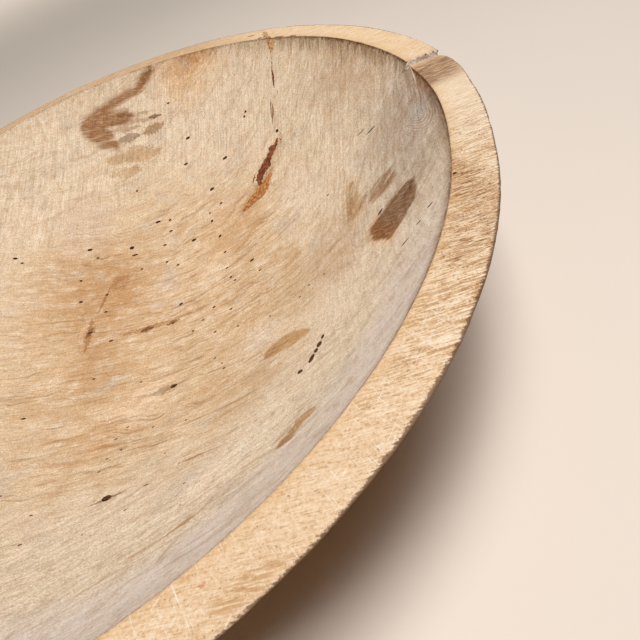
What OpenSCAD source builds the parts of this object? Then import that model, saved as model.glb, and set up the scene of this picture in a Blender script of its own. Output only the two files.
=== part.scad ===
// Turned wooden dough bowl with a cracked rim and an old filled split in its wall.
// Millimetres, +Z up. The foot stands on Z = 0, and X runs along the grain of the wood.

/* [Bowl] */
// Diameter over the outside of the rim
rim_d = 460; // [420:1:520]
// Height from the foot to the top of the rim
bowl_h = 128; // [115:1:150]
// Width of the flat on top of the rim
rim_w = 17; // [13:0.5:22]
// Thickness of the floor at its middle
floor_t = 20; // [15:0.5:26]
// Diameter of the flat foot
foot_d = 150; // [120:1:180]

/* [Rim edges] */
// Radius of the worn outer edge
outer_round = 2.6; // [1.5:0.1:4]
// Radius of the worn inner edge
inner_round = 1.4; // [0.8:0.1:2.5]

/* [Rim crack] */
// Azimuth where the crack crosses the middle of the rim
crack_az = 14.3; // [10:0.1:18]
// Turn of the crack away from the grain
crack_turn = 5.5; // [2:0.5:9]
// Width of the crack at its mouth
crack_w = 3; // [2:0.1:4.5]
// Depth of the crack below the rim
crack_depth = 14; // [10:0.5:20]
// How far the lip beside the crack has sunk
lip_drop = 2.3; // [1.5:0.1:3.5]
// Length of rim over which the sunken lip rises back
lip_run = 78; // [60:1:95]
// How far the inner edge of the lip has sprung outwards
lip_spring = 3.6; // [2:0.1:5]
// Radius of the hollow behind the sprung lip
lip_hollow_r = 105; // [85:1:130]

/* [Split filler on the rim] */
// Azimuth of the filler on the rim
rim_fill_az = 55.2; // [53:0.1:57]
// Length of the filler across the rim
rim_fill_l = 19; // [15:0.5:22]
// Width of the filler along the rim
rim_fill_w = 10; // [7:0.5:12]
// Depth of the filler below the rim
rim_fill_depth = 9; // [6:0.5:12]

/* [Split filler in the wall] */
// Depth of each filled pocket behind the inner wall
pocket_depth = 3.5; // [2:0.5:6]
// Azimuth of the upper streak
upper_az = 51.6; // [50:0.1:53]
// Length of the upper streak
upper_l = 21; // [16:0.5:24]
// Width of the upper streak
upper_w = 3; // [2:0.1:4]
// Azimuth of the middle streak
middle_az = 50.2; // [49:0.1:52]
// Length of the middle streak
middle_l = 18; // [14:0.5:21]
// Width of the middle streak
middle_w = 3.2; // [2:0.1:4.5]
// Azimuth of the dark filler
dark_az = 47.4; // [46.5:0.1:48.5]
// Length of the dark filler
dark_l = 38; // [32:0.5:42]
// Width of the dark filler
dark_w = 9; // [7:0.5:11]
// Azimuth of the amber filler
amber_az = 44.4; // [43.5:0.1:45]
// Length of the amber filler
amber_l = 34; // [29:0.5:37]
// Width of the amber filler
amber_w = 8; // [6:0.5:9.5]

/* [Hidden] */
$fn = 180;

// Spare length that lets every cut run clear of the face it leaves
overrun = 4;
// Straight chords that make up each worn edge
edge_steps = 4;
// Depth of the grey filler's high edge below the rim
filler_sink = 0.5;

// Radii of the rim and the foot
rim_r = rim_d / 2;
mouth_r = rim_r - rim_w;
foot_r = foot_d / 2;
rim_mid_r = rim_r - rim_w / 2;

// The hollow is a ball that passes through the mouth's edge and touches the floor
cavity_depth = bowl_h - floor_t;
cavity_r = (mouth_r * mouth_r + cavity_depth * cavity_depth) / (2 * cavity_depth);
cavity_z = floor_t + cavity_r;

// The outside is a ball that passes through the foot's edge and wraps the rim's worn edge:
// its centre height solves square_term * z * z + 2 * half_term * z + free_term = 0
edge_x = rim_r - outer_round;
edge_z = bowl_h - outer_round;
span = foot_r * foot_r + outer_round * outer_round - edge_x * edge_x - edge_z * edge_z;
square_term = 4 * (edge_z * edge_z - outer_round * outer_round);
half_term = 2 * edge_z * span;
free_term = span * span - 4 * outer_round * outer_round * foot_r * foot_r;
outside_z = (sqrt(half_term * half_term - square_term * free_term) - half_term) / square_term;
outside_r = sqrt(foot_r * foot_r + outside_z * outside_z);

// Centre of the inner worn edge, which touches the rim's flat and the hollow's ball
mouth_z = bowl_h - inner_round;
mouth_x = sqrt(pow(cavity_r + inner_round, 2) - pow(cavity_z - mouth_z, 2));

// Turn of each wall filler away from straight down the wall
upper_turn = -25;
middle_turn = -23;
dark_turn = 6;
amber_turn = 22;

// Depth of each wall filler's middle below the rim, as a share of the hollow's depth
upper_drop_share = 0.19;
middle_drop_share = 0.35;
dark_drop_share = 0.56;
amber_drop_share = 0.68;

// Outlines as shares of a filler's length (first, down the wall) and width (second, leftwards)
rim_fill_shares = [[-0.5, 0.1], [-0.42, 0.45], [-0.1, 0.5], [0.12, 0.2], [0.5, 0.08],
                   [0.48, -0.2], [0.1, -0.3], [-0.15, -0.5], [-0.4, -0.3]];
streak_shares = [[-0.5, 0], [-0.2, 0.4], [0.1, 0.5], [0.38, 0.25], [0.5, 0], [0.3, -0.4], [-0.15, -0.5]];
dark_shares = [[-0.5, -0.2], [-0.44, 0.1], [-0.2, 0.28], [0.08, 0.3], [0.3, 0.5], [0.48, 0.42],
               [0.5, 0.05], [0.34, -0.1], [0.12, -0.5], [-0.2, -0.42], [-0.38, -0.4]];
amber_shares = [[-0.5, 0.12], [-0.3, 0.2], [-0.02, 0.1], [0.28, 0.36], [0.5, 0.5],
                [0.36, 0.02], [0.12, -0.34], [-0.14, -0.5], [-0.36, -0.28]];

// Angle at the hollow's centre, from straight down, of a place that far below the rim
function wall_angle(drop) = acos((cavity_z - bowl_h + drop) / cavity_r);

// Points of an outline given in shares of a length and a width
function outline(shares, length, width) = [for (p = shares) [p[0] * length, p[1] * width]];

// Points along an arc, from one direction to another
function arc(centre, radius, from, to) =
    [for (i = [0 : edge_steps]) let (a = from + (to - from) * i / edge_steps)
        centre + radius * [cos(a), sin(a)]];

// A point past the end of a chord, in line with it
function past(start, end) = end + (end - start) * overrun / norm(end - start);

// Half of the bowl's section: a ball outside, a ball inside, and a flat rim between two worn edges
module section() {
    outer_edge = arc([edge_x, edge_z], outer_round, 90, atan2(edge_z - outside_z, edge_x));
    inner_edge = arc([mouth_x, mouth_z], inner_round, 90, 180 + atan2(mouth_z - cavity_z, mouth_x));
    outer_run = [for (i = [edge_steps - 1 : -1 : 0]) outer_edge[i]];
    inner_run = [for (i = [0 : edge_steps - 1]) inner_edge[i]];
    outer_past = past(outer_run[0], outer_edge[edge_steps]);
    inner_past = past(inner_run[edge_steps - 1], inner_edge[edge_steps]);
    difference() {
        intersection() {
            translate([0, outside_z]) circle(outside_r);
            polygon(concat([[0, 0], [rim_r + overrun, 0], outer_past], outer_run,
                           inner_run, [inner_past, [0, inner_past[1]]]));
        }
        translate([0, cavity_z]) circle(cavity_r);
    }
}

// The whole turned bowl before it cracked
module blank() {
    rotate_extrude() section();
}

// Puts children on the rim where the crack crosses it: X along the crack, Z = 0 on the rim
module at_crack() {
    translate([rim_mid_r * cos(crack_az), rim_mid_r * sin(crack_az), bowl_h])
        rotate([0, 0, crack_turn]) children();
}

// Bar with the given outline across the crack, drawn along it
module along_crack(points) {
    at_crack() rotate([90, 0, 90])
        translate([0, 0, -rim_w - crack_depth]) linear_extrude(2 * (rim_w + crack_depth)) polygon(points);
}

// Puts children on the inner wall, that far below the rim: X down the wall, Y leftwards, Z into the wood
module on_wall(az, drop) {
    translate([0, 0, cavity_z]) rotate([0, 0, az]) rotate([0, 180 - wall_angle(drop), 0])
        translate([0, 0, cavity_r]) children();
}

// Open crack: a wedge with one upright face and one leaning face
module crack_cut() {
    along_crack([[0, overrun], [0, -crack_depth], [-crack_w, -lip_drop], [-crack_w, overrun]]);
}

// What is gone above the sunken lip: a tilted slice that starts at the crack
module lip_cut() {
    tilt = atan(lip_drop / lip_run);
    at_crack() translate([0, -crack_w, -lip_drop]) rotate([-tilt, 0, 0])
        translate([-rim_w - crack_depth, -lip_run - overrun, 0])
            cube([2 * (rim_w + crack_depth), lip_run + overrun + crack_w / 2, crack_depth]);
}

// Hollow behind the sprung lip: part of a ball on the lip's side of the crack
module lip_hollow() {
    intersection() {
        on_wall(crack_az, 0) translate([0, 0, lip_spring - lip_hollow_r]) sphere(lip_hollow_r);
        at_crack() translate([-lip_hollow_r, -lip_hollow_r - crack_w / 2, -lip_hollow_r])
            cube([2 * lip_hollow_r, lip_hollow_r, 2 * lip_hollow_r]);
    }
}

// Upright plug through the rim with the split filler's outline
module rim_plug() {
    rotate([0, 0, rim_fill_az]) translate([rim_mid_r, 0, bowl_h - rim_fill_depth]) rotate([0, 0, 180])
        linear_extrude(rim_fill_depth + overrun) polygon(outline(rim_fill_shares, rim_fill_l, rim_fill_w));
}

// Plug square to the inner wall, down to the bottom of its pocket
module wall_plug(az, drop_share, turn, points) {
    intersection() {
        on_wall(az, drop_share * cavity_depth) translate([0, 0, -overrun]) rotate([0, 0, turn])
            linear_extrude(pocket_depth + 2 * overrun) polygon(points);
        translate([0, 0, cavity_z]) sphere(cavity_r + pocket_depth);
    }
}

module upper_plug() {
    wall_plug(upper_az, upper_drop_share, upper_turn, outline(streak_shares, upper_l, upper_w));
}

module middle_plug() {
    wall_plug(middle_az, middle_drop_share, middle_turn, outline(streak_shares, middle_l, middle_w));
}

module dark_plug() {
    wall_plug(dark_az, dark_drop_share, dark_turn, outline(dark_shares, dark_l, dark_w));
}

module amber_plug() {
    wall_plug(amber_az, amber_drop_share, amber_turn, outline(amber_shares, amber_l, amber_w));
}

module bowl_body() {
    color("burlywood") difference() {
        blank();
        lip_hollow();
        lip_cut();
        crack_cut();
        rim_plug();
        upper_plug();
        middle_plug();
        dark_plug();
        amber_plug();
    }
}

module rim_crack_filler() {
    color("gray") intersection() {
        blank();
        along_crack([[0, -filler_sink], [0, -crack_depth], [-crack_w, -lip_drop]]);
    }
}

module split_filler_rim() {
    color("peru") intersection() {
        blank();
        rim_plug();
    }
}

module split_streak_upper() {
    color("saddlebrown") intersection() {
        blank();
        upper_plug();
    }
}

module split_streak_middle() {
    color("saddlebrown") intersection() {
        blank();
        middle_plug();
    }
}

module split_filler_dark() {
    color("sienna") intersection() {
        blank();
        dark_plug();
    }
}

module split_filler_amber() {
    color("chocolate") intersection() {
        blank();
        amber_plug();
    }
}

bowl_body();
rim_crack_filler();
split_filler_rim();
split_streak_upper();
split_streak_middle();
split_filler_dark();
split_filler_amber();
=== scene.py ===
"""Looks of an old turned dough bowl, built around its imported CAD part.

The scene is in metres, in the frame of the CAD part: +Z is up, the foot stands on Z = 0,
and +X runs along the grain towards the cracked side of the rim. Sizes of the bowl are
kept in millimetres, and places read off the photograph in pixels of its 640 x 640 frame.
"""

import functools
import logging
import math
import random
from dataclasses import dataclass, field
from enum import Enum
from typing import ClassVar, Optional, Sequence, Union

import bpy
import numpy as np
from mathutils import Matrix, Vector, noise


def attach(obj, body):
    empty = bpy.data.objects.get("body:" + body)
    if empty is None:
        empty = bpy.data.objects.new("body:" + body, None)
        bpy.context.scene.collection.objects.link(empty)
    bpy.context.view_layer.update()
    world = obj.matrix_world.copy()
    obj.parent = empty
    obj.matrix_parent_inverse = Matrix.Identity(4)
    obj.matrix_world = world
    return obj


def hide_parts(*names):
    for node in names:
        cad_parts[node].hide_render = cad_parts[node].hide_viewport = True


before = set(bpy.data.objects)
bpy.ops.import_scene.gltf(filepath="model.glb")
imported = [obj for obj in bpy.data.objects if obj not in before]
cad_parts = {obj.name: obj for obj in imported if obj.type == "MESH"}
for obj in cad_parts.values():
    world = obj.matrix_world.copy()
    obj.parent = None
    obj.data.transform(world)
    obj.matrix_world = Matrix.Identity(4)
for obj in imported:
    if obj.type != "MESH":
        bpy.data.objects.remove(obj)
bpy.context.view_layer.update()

LOG = logging.getLogger("dough_bowl")
MM = 0.001

Pixel = tuple[float, float]
Colour = tuple[float, float, float, float]


def srgb(red: float, green: float, blue: float) -> Colour:
    """Turn a screen colour into the linear colour that a shader takes.

    Args:
        red: Red from 0 to 255.
        green: Green from 0 to 255.
        blue: Blue from 0 to 255.

    Returns:
        The linear colour with full alpha.
    """
    def linear(level: float) -> float:
        """Undo the screen curve of one channel."""
        share = level / 255
        return share / 12.92 if share <= 0.04045 else ((share + 0.055) / 1.055) ** 2.4
    return (linear(red), linear(green), linear(blue), 1.0)


def smoothstep(low: float, high: float, value: np.ndarray) -> np.ndarray:
    """Rise smoothly from 0 at low to 1 at high.

    Args:
        low: Value where the rise starts.
        high: Value where it ends.
        value: Values to look up.

    Returns:
        Shares from 0 to 1.
    """
    share = np.clip((value - low) / (high - low), 0.0, 1.0)
    return share * share * (3.0 - 2.0 * share)


@dataclass(frozen=True)
class Ripple:
    """Smooth random waves, the same on every run: height and width of a swell in millimetres, and a seed."""

    height: float
    size: float
    seed: float

    def at(self, places: np.ndarray) -> np.ndarray:
        """Heights of the waves.

        Args:
            places: Points as rows of three millimetre values.

        Returns:
            Millimetres at each point, up and down.
        """
        start = Vector((self.seed, 2 * self.seed, -self.seed))
        return self.height * np.array([noise.noise(Vector(p) / self.size + start) for p in places])


@dataclass(frozen=True)
class BowlSizes:
    """Sizes of the turned bowl in millimetres, as in the CAD part."""

    rim_d: float = 460.0
    bowl_h: float = 128.0
    rim_w: float = 17.0
    floor_t: float = 20.0
    foot_d: float = 150.0
    outer_round: float = 2.6
    inner_round: float = 1.4
    lip_drop: float = 2.3
    lip_spring: float = 3.6
    crack_az: float = 14.3

    @property
    def rim_r(self) -> float:
        """Radius over the outside of the rim."""
        return self.rim_d / 2

    @property
    def mouth_r(self) -> float:
        """Radius of the hollow at the rim."""
        return self.rim_r - self.rim_w

    @property
    def cavity_r(self) -> float:
        """Radius of the ball that the hollow is part of."""
        depth = self.bowl_h - self.floor_t
        return (self.mouth_r ** 2 + depth ** 2) / (2 * depth)

    @property
    def cavity_z(self) -> float:
        """Height of the middle of the hollow's ball."""
        return self.floor_t + self.cavity_r

    @property
    def outside_z(self) -> float:
        """Height of the middle of the outside ball, which wraps the worn edge and meets the foot."""
        edge_x = self.rim_r - self.outer_round
        edge_z = self.bowl_h - self.outer_round
        foot_r = self.foot_d / 2
        span = foot_r ** 2 + self.outer_round ** 2 - edge_x ** 2 - edge_z ** 2
        square = 4 * (edge_z ** 2 - self.outer_round ** 2)
        half = 2 * edge_z * span
        free = span ** 2 - 4 * self.outer_round ** 2 * foot_r ** 2
        return (math.sqrt(half ** 2 - square * free) - half) / square

    @property
    def outside_r(self) -> float:
        """Radius of the outside ball."""
        return math.hypot(self.foot_d / 2, self.outside_z)


SIZES = BowlSizes()


@dataclass(frozen=True)
class PhotoView:
    """Camera of the photograph: its place in millimetres, its axes and its focal length in pixels."""

    place: tuple[float, float, float] = (174.157, -207.552, 234.95)
    right: tuple[float, float, float] = (0.95651, -0.06079, -0.28529)
    up: tuple[float, float, float] = (0.22993, 0.75898, 0.60916)
    forward: tuple[float, float, float] = (-0.17950, 0.64827, -0.73995)
    focal_px: float = 444.0
    frame_px: float = 640.0
    sensor_mm: float = 36.0
    clip_m: tuple[float, float] = (0.01, 50.0)

    def ray(self, pixel: Pixel) -> Vector:
        """Direction in which a pixel looks.

        Args:
            pixel: Place in the photograph's frame.

        Returns:
            Unit vector in the bowl's frame.
        """
        half = self.frame_px / 2
        across = (pixel[0] - half) / self.focal_px
        rise = (half - pixel[1]) / self.focal_px
        return (Vector(self.forward) + across * Vector(self.right) + rise * Vector(self.up)).normalized()

    def on_wall(self, pixel: Pixel) -> Vector:
        """Place on the hollow's ball that a pixel shows, in millimetres."""
        start = Vector(self.place) - Vector((0, 0, SIZES.cavity_z))
        way = self.ray(pixel)
        along = start.dot(way)
        reach = math.sqrt(max(0.0, along ** 2 - start.length_squared + SIZES.cavity_r ** 2))
        return Vector(self.place) + way * (reach - along)

    def on_level(self, pixel: Pixel, height: float) -> Vector:
        """Place on a level plane that a pixel shows, in millimetres."""
        way = self.ray(pixel)
        return Vector(self.place) + way * ((height - self.place[2]) / way.z)

    def on_bowl(self, pixel: Pixel, rim: bool) -> Vector:
        """Place on the top of the rim, or else on the hollow's wall, that a pixel shows."""
        return self.on_level(pixel, SIZES.bowl_h) if rim else self.on_wall(pixel)

    def millimetres(self, place: Vector) -> float:
        """Length that one pixel covers at a place."""
        return (place - Vector(self.place)).dot(Vector(self.forward)) / self.focal_px

    def make_camera(self) -> bpy.types.Object:
        """Put the scene's camera where the photograph was taken.

        Returns:
            The camera object.
        """
        data = bpy.data.cameras.new("photo_camera")
        data.sensor_fit = "HORIZONTAL"
        data.sensor_width = self.sensor_mm
        data.lens = self.focal_px / self.frame_px * self.sensor_mm
        data.clip_start, data.clip_end = self.clip_m
        camera = bpy.data.objects.new("photo_camera", data)
        turn = Matrix((self.right, self.up, [-x for x in self.forward])).transposed().to_4x4()
        camera.matrix_world = Matrix.Translation(Vector(self.place) * MM) @ turn
        bpy.context.scene.collection.objects.link(camera)
        bpy.context.scene.camera = camera
        return camera


PHOTO = PhotoView()


@dataclass(frozen=True)
class Warp:
    """How the old rim has moved out of round.

    Each row holds an angle in degrees from the crack, and how far the outside and the mouth have moved
    outward there in millimetres. Both fade out on the way down.
    """

    rows: tuple[tuple[float, float, float], ...] = (
        (-180, 0, 0), (-140, 0.2, 0), (-110, -0.2, 0), (-90, -0.5, 0), (-70, -0.3, 0), (-50, 1.0, 0),
        (-38, 0.5, 0), (-25, -0.3, 0), (-0.01, 0, 0), (0, 2.8, 2.8), (8, 2.6, 2.6), (25, 1.8, 2.3),
        (45, 1.4, 2.6), (60, 1.0, 2.2), (74, 2.0, 4.4), (92, 4.0, 10.0), (120, 2.0, 4.5), (150, 0, 0),
        (180, 0, 0))
    fade: float = 42.0

    def shift(self, angle: np.ndarray, across: np.ndarray, depth: np.ndarray) -> np.ndarray:
        """Move of places on the bowl.

        Args:
            angle: Degrees from the crack.
            across: 0 at the mouth of the hollow, 1 at the outside.
            depth: Millimetres below the rim.

        Returns:
            Millimetres outward.
        """
        angles, outside, inside = zip(*self.rows)
        mouth = np.interp(angle, angles, inside)
        outer = np.interp(angle, angles, outside)
        return (mouth + (outer - mouth) * across) * (1.0 - smoothstep(0.0, self.fade, depth))

    def carry(self, place: Vector) -> Vector:
        """Move a place on the hollow's wall with the rim above it."""
        angle = (math.degrees(math.atan2(place.y, place.x)) - SIZES.crack_az + 180.0) % 360.0 - 180.0
        depth = np.array([(SIZES.bowl_h - place.z) * SIZES.cavity_r / math.hypot(place.x, place.y)])
        move = float(self.shift(np.array([angle]), np.array([0.0]), depth)[0])
        return place + Vector((place.x, place.y, 0)).normalized() * move


WARP = Warp()


def way_out(place: Vector, rim: bool) -> Vector:
    """Direction out of the top of the rim, or else out of the hollow's wall, at a place."""
    return Vector((0, 0, 1)) if rim else (Vector((0, 0, SIZES.cavity_z)) - place).normalized()


class Signal:
    """Output socket that takes part in Python arithmetic, each sign adding a Math node."""

    def __init__(self, bench: "Bench", socket: bpy.types.NodeSocket) -> None:
        """Keep the bench that owns the nodes and the socket itself."""
        self.bench = bench
        self.socket = socket

    def __add__(self, other: "Plug") -> "Signal":
        """Sum with a number or another signal."""
        return self.bench.math("ADD", self, other)

    __radd__ = __add__

    def __sub__(self, other: "Plug") -> "Signal":
        """Difference, this one first."""
        return self.bench.math("SUBTRACT", self, other)

    def __rsub__(self, other: "Plug") -> "Signal":
        """Difference, this one last."""
        return self.bench.math("SUBTRACT", other, self)

    def __mul__(self, other: "Plug") -> "Signal":
        """Product with a number or another signal."""
        return self.bench.math("MULTIPLY", self, other)

    __rmul__ = __mul__

    def __truediv__(self, other: "Plug") -> "Signal":
        """Quotient, this one on top."""
        return self.bench.math("DIVIDE", self, other)

    def __rtruediv__(self, other: "Plug") -> "Signal":
        """Quotient, this one below."""
        return self.bench.math("DIVIDE", other, self)

    def __abs__(self) -> "Signal":
        """Size without sign."""
        return self.bench.math("ABSOLUTE", self)

    def root(self) -> "Signal":
        """Square root."""
        return self.bench.math("SQRT", self)

    def least(self, other: "Plug") -> "Signal":
        """Smaller of two."""
        return self.bench.math("MINIMUM", self, other)

    def most(self, other: "Plug") -> "Signal":
        """Larger of two."""
        return self.bench.math("MAXIMUM", self, other)

    def rise(self, low: float, high: float) -> "Signal":
        """Share that rises smoothly from 0 at low to 1 at high, or falls where low is above high.

        Args:
            low: Value that gives 0.
            high: Value that gives 1.

        Returns:
            The share as a signal.
        """
        first, last, start, end = (low, high, 0.0, 1.0) if low < high else (high, low, 1.0, 0.0)
        sockets = {"Value": self, "From Min": first, "From Max": last, "To Min": start, "To Max": end}
        return self.bench.node("ShaderNodeMapRange", {"interpolation_type": "SMOOTHSTEP"}, sockets)


Plug = Union[Signal, float, int, Sequence[float]]


class Bench:
    """Bench on which the nodes of one material, or of the sky, are put and linked."""

    def __init__(self, name: str, sky: bool = False) -> None:
        """Start a material, or a sky, with an empty node tree."""
        self.owner = (bpy.data.worlds if sky else bpy.data.materials).new(name)
        self.owner.use_nodes = True
        self.tree = self.owner.node_tree
        self.tree.nodes.clear()

    def feed(self, socket: bpy.types.NodeSocket, value: Plug) -> None:
        """Link a signal to an input, or write a plain value into it."""
        if isinstance(value, Signal):
            self.tree.links.new(value.socket, socket)
        else:
            socket.default_value = value

    def node(self, kind: str, settings: Optional[dict] = None, sockets: Optional[dict] = None,
             out: Union[int, str] = 0) -> Signal:
        """Add any node.

        Args:
            kind: Blender's name of the node's type.
            settings: Properties that are set first; "stops" holds a ramp's places and colours.
            sockets: Values or signals by input name or number.
            out: Output that is handed back.

        Returns:
            The chosen output as a signal.
        """
        made = self.tree.nodes.new(kind)
        for name, value in (settings or {}).items():
            if name == "stops":
                while len(made.color_ramp.elements) < len(value):
                    made.color_ramp.elements.new(0.5)
                for stop, (place, colour) in zip(made.color_ramp.elements, value):
                    stop.position = place
                    stop.color = colour
            else:
                setattr(made, name, value)
        for key, value in (sockets or {}).items():
            self.feed(made.inputs[key], value)
        return Signal(self, made.outputs[out])

    def math(self, operation: str, *values: Plug) -> Signal:
        """Add a Math node on one, two or three values."""
        return self.node("ShaderNodeMath", {"operation": operation}, dict(enumerate(values)))

    def vector(self, operation: str, first: Plug, second: Plug) -> Signal:
        """Add a Vector Math node that gives a vector."""
        return self.node("ShaderNodeVectorMath", {"operation": operation}, {0: first, 1: second})

    def dot(self, first: Plug, second: Plug) -> Signal:
        """Product of two vectors along each other."""
        return self.node("ShaderNodeVectorMath", {"operation": "DOT_PRODUCT"}, {0: first, 1: second}, "Value")

    def distance(self, first: Plug, second: Plug) -> Signal:
        """Distance between two places."""
        return self.node("ShaderNodeVectorMath", {"operation": "DISTANCE"}, {0: first, 1: second}, "Value")

    def join(self, x: Plug, y: Plug, z: Plug) -> Signal:
        """Vector from three values."""
        return self.node("ShaderNodeCombineXYZ", None, {0: x, 1: y, 2: z})

    def mix(self, share: Plug, first: Plug, second: Plug, how: str = "MIX") -> Signal:
        """Blend two colours.

        Args:
            share: How much of the second shows.
            first: Colour below.
            second: Colour on top.
            how: Blend type.

        Returns:
            The blended colour.
        """
        return self.node("ShaderNodeMix", {"data_type": "RGBA", "blend_type": how, "clamp_factor": True},
                         {0: share, 6: first, 7: second}, 2)

    def noise(self, where: Plug, scale: float, detail: float = 2.0, rough: float = 0.5) -> Signal:
        """Smooth random share around one half.

        Args:
            where: Place, usually in millimetres.
            scale: Swells per unit of the place.
            detail: Number of finer layers.
            rough: Strength of the finer layers.

        Returns:
            A share as a signal.
        """
        return self.node("ShaderNodeTexNoise", {"noise_dimensions": "3D"},
                         {"Vector": where, "Scale": scale, "Detail": detail, "Roughness": rough}, "Fac")

    def ramp(self, share: Signal, stops: Sequence[tuple[float, Colour]]) -> Signal:
        """Colour looked up on a ramp."""
        return self.node("ShaderNodeValToRGB", {"stops": stops}, {"Fac": share}, "Color")

    def attribute(self, name: str) -> Signal:
        """Value that the mesh carries under a name."""
        return self.node("ShaderNodeAttribute", {"attribute_name": name}, None, "Fac")

    def place(self) -> Signal:
        """Place on the piece in millimetres."""
        spot = self.node("ShaderNodeTexCoord", None, None, "Object")
        return self.vector("MULTIPLY", spot, (1 / MM,) * 3)

    def finish(self, colour: Plug, rough: Plug, height: Optional[Signal] = None, bump_mm: float = 0.1,
               gloss: float = 0.3, glow: Optional[Signal] = None) -> bpy.types.Material:
        """Close the material with a surface shader.

        Args:
            colour: Base colour.
            rough: Roughness.
            height: Relief from 0 to 1, if there is any.
            bump_mm: Height of the full relief in millimetres.
            gloss: Specular level.
            glow: Colour of its own light, if it has any.

        Returns:
            The finished material.
        """
        shader = self.tree.nodes.new("ShaderNodeBsdfPrincipled")
        shader.inputs["Specular IOR Level"].default_value = gloss
        self.feed(shader.inputs["Base Color"], colour)
        self.feed(shader.inputs["Roughness"], rough)
        if height is not None:
            sockets = {"Distance": bump_mm * MM, "Strength": 1.0, "Height": height}
            self.feed(shader.inputs["Normal"], self.node("ShaderNodeBump", None, sockets))
        if glow is not None:
            self.feed(shader.inputs["Emission Color"], glow)
            shader.inputs["Emission Strength"].default_value = 1.0
        end = self.tree.nodes.new("ShaderNodeOutputMaterial")
        self.tree.links.new(shader.outputs[0], end.inputs["Surface"])
        return self.owner


class StainKind(Enum):
    """Stains in the wood, and one kind that also serves as painted shade: what they leave of its colour,
    their strength, and fraying in millimetres.
    """

    OIL = ((0.36, 0.23, 0.14), 1.0, 2.0)
    BURNT = ((0.95, 0.55, 0.22), 1.0, 1.6)
    STREAKED = ((0.42, 0.24, 0.12), 1.0, 3.2)
    WASHED = ((0.56, 0.42, 0.30), 1.0, 3.0)
    FAINT = ((0.70, 0.55, 0.39), 0.9, 3.0)
    TEA = ((0.72, 0.56, 0.37), 1.0, 0.8)
    RUST = ((0.62, 0.42, 0.23), 1.0, 2.0)
    # Grey stains, and also painted shadow beside the knot hole and along the crack bead's lower edge.
    SHADOW = ((0.40, 0.33, 0.28), 0.9, 1.6)
    WEATHERED = ((0.46, 0.39, 0.36), 1.0, 6.0)
    GREYED = ((0.70, 0.63, 0.60), 1.0, 2.0)
    BLUSH = ((0.86, 0.56, 0.48), 1.0, 1.0)

    def __init__(self, leaves: tuple[float, float, float], strength: float, fray_mm: float) -> None:
        """Give the three values their names."""
        self.leaves: Colour = (*leaves, 1.0)
        self.strength = strength
        self.fray_mm = fray_mm


@dataclass(frozen=True)
class Stain:
    """Stain inside one or more outlines of pixels, each of which runs round with no dents."""

    kind: StainKind
    corners: tuple[Pixel, ...]
    soft: float = 1.2
    on_rim: bool = False
    bite: tuple[float, float] = (0.25, 0.58)
    also: tuple[tuple[Pixel, ...], ...] = ()
    FRAY_GAIN: ClassVar[float] = 2.6
    SPECK_MM: ClassVar[float] = 5.0
    WEAVE_GAIN: ClassVar[float] = 1.2
    WEAVE_LEAST: ClassVar[float] = 0.34

    def _inside(self, bench: Bench, place: Signal, corners: Sequence[Pixel]) -> Signal:
        """Distance inside one outline.

        Args:
            bench: Bench of the material.
            place: Place in millimetres.
            corners: Pixels round the outline.

        Returns:
            Millimetres, below 0 outside.
        """
        spots = [PHOTO.on_bowl(corner, self.on_rim) for corner in corners]
        middle = sum(spots, Vector()) / len(spots)
        inside: Optional[Signal] = None
        for start, end in zip(spots, spots[1:] + spots[:1]):
            side = way_out((start + end) / 2, self.on_rim).cross(end - start).normalized()
            if side.dot(middle - start) < 0:
                side = -side
            gap = bench.dot(place, tuple(side)) - side.dot(start)
            inside = gap if inside is None else inside.least(gap)
        return inside

    def mask(self, bench: Bench, place: Signal, fray: Signal, speck: Signal) -> Signal:
        """Share of the stain at each place.

        Args:
            bench: Bench of the material.
            place: Place in millimetres.
            fray: Random share that frays the edge along the fibres.
            speck: Fine random grain that blurs it.

        Returns:
            A share from 0 to 1.
        """
        inside = self._inside(bench, place, self.corners)
        for corners in self.also:
            inside = inside.most(self._inside(bench, place, corners))
        frayed = inside + (fray - 0.5) * (self.FRAY_GAIN * self.kind.fray_mm) + (speck - 0.5) * self.SPECK_MM
        return frayed.rise(-self.soft, self.soft) * self.kind.strength

    def lay(self, bench: Bench, place: Signal, colour: Signal, fray: Signal, speck: Signal,
            weave: Signal) -> Signal:
        """Darken a colour where the stain is, more along some fibres than along others.

        Args:
            bench: Bench of the material.
            place: Place in millimetres.
            colour: Colour below.
            fray: Fibre streaks.
            speck: Fine random grain.
            weave: Fine lines that make the stain uneven.

        Returns:
            The stained colour.
        """
        share = self.mask(bench, place, fray, speck) * (weave * self.WEAVE_GAIN + self.WEAVE_LEAST)
        if self.kind is not StainKind.OIL:
            share = share * fray.rise(*self.bite)
        return bench.mix(share, colour, self.kind.leaves, "MULTIPLY")


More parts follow.
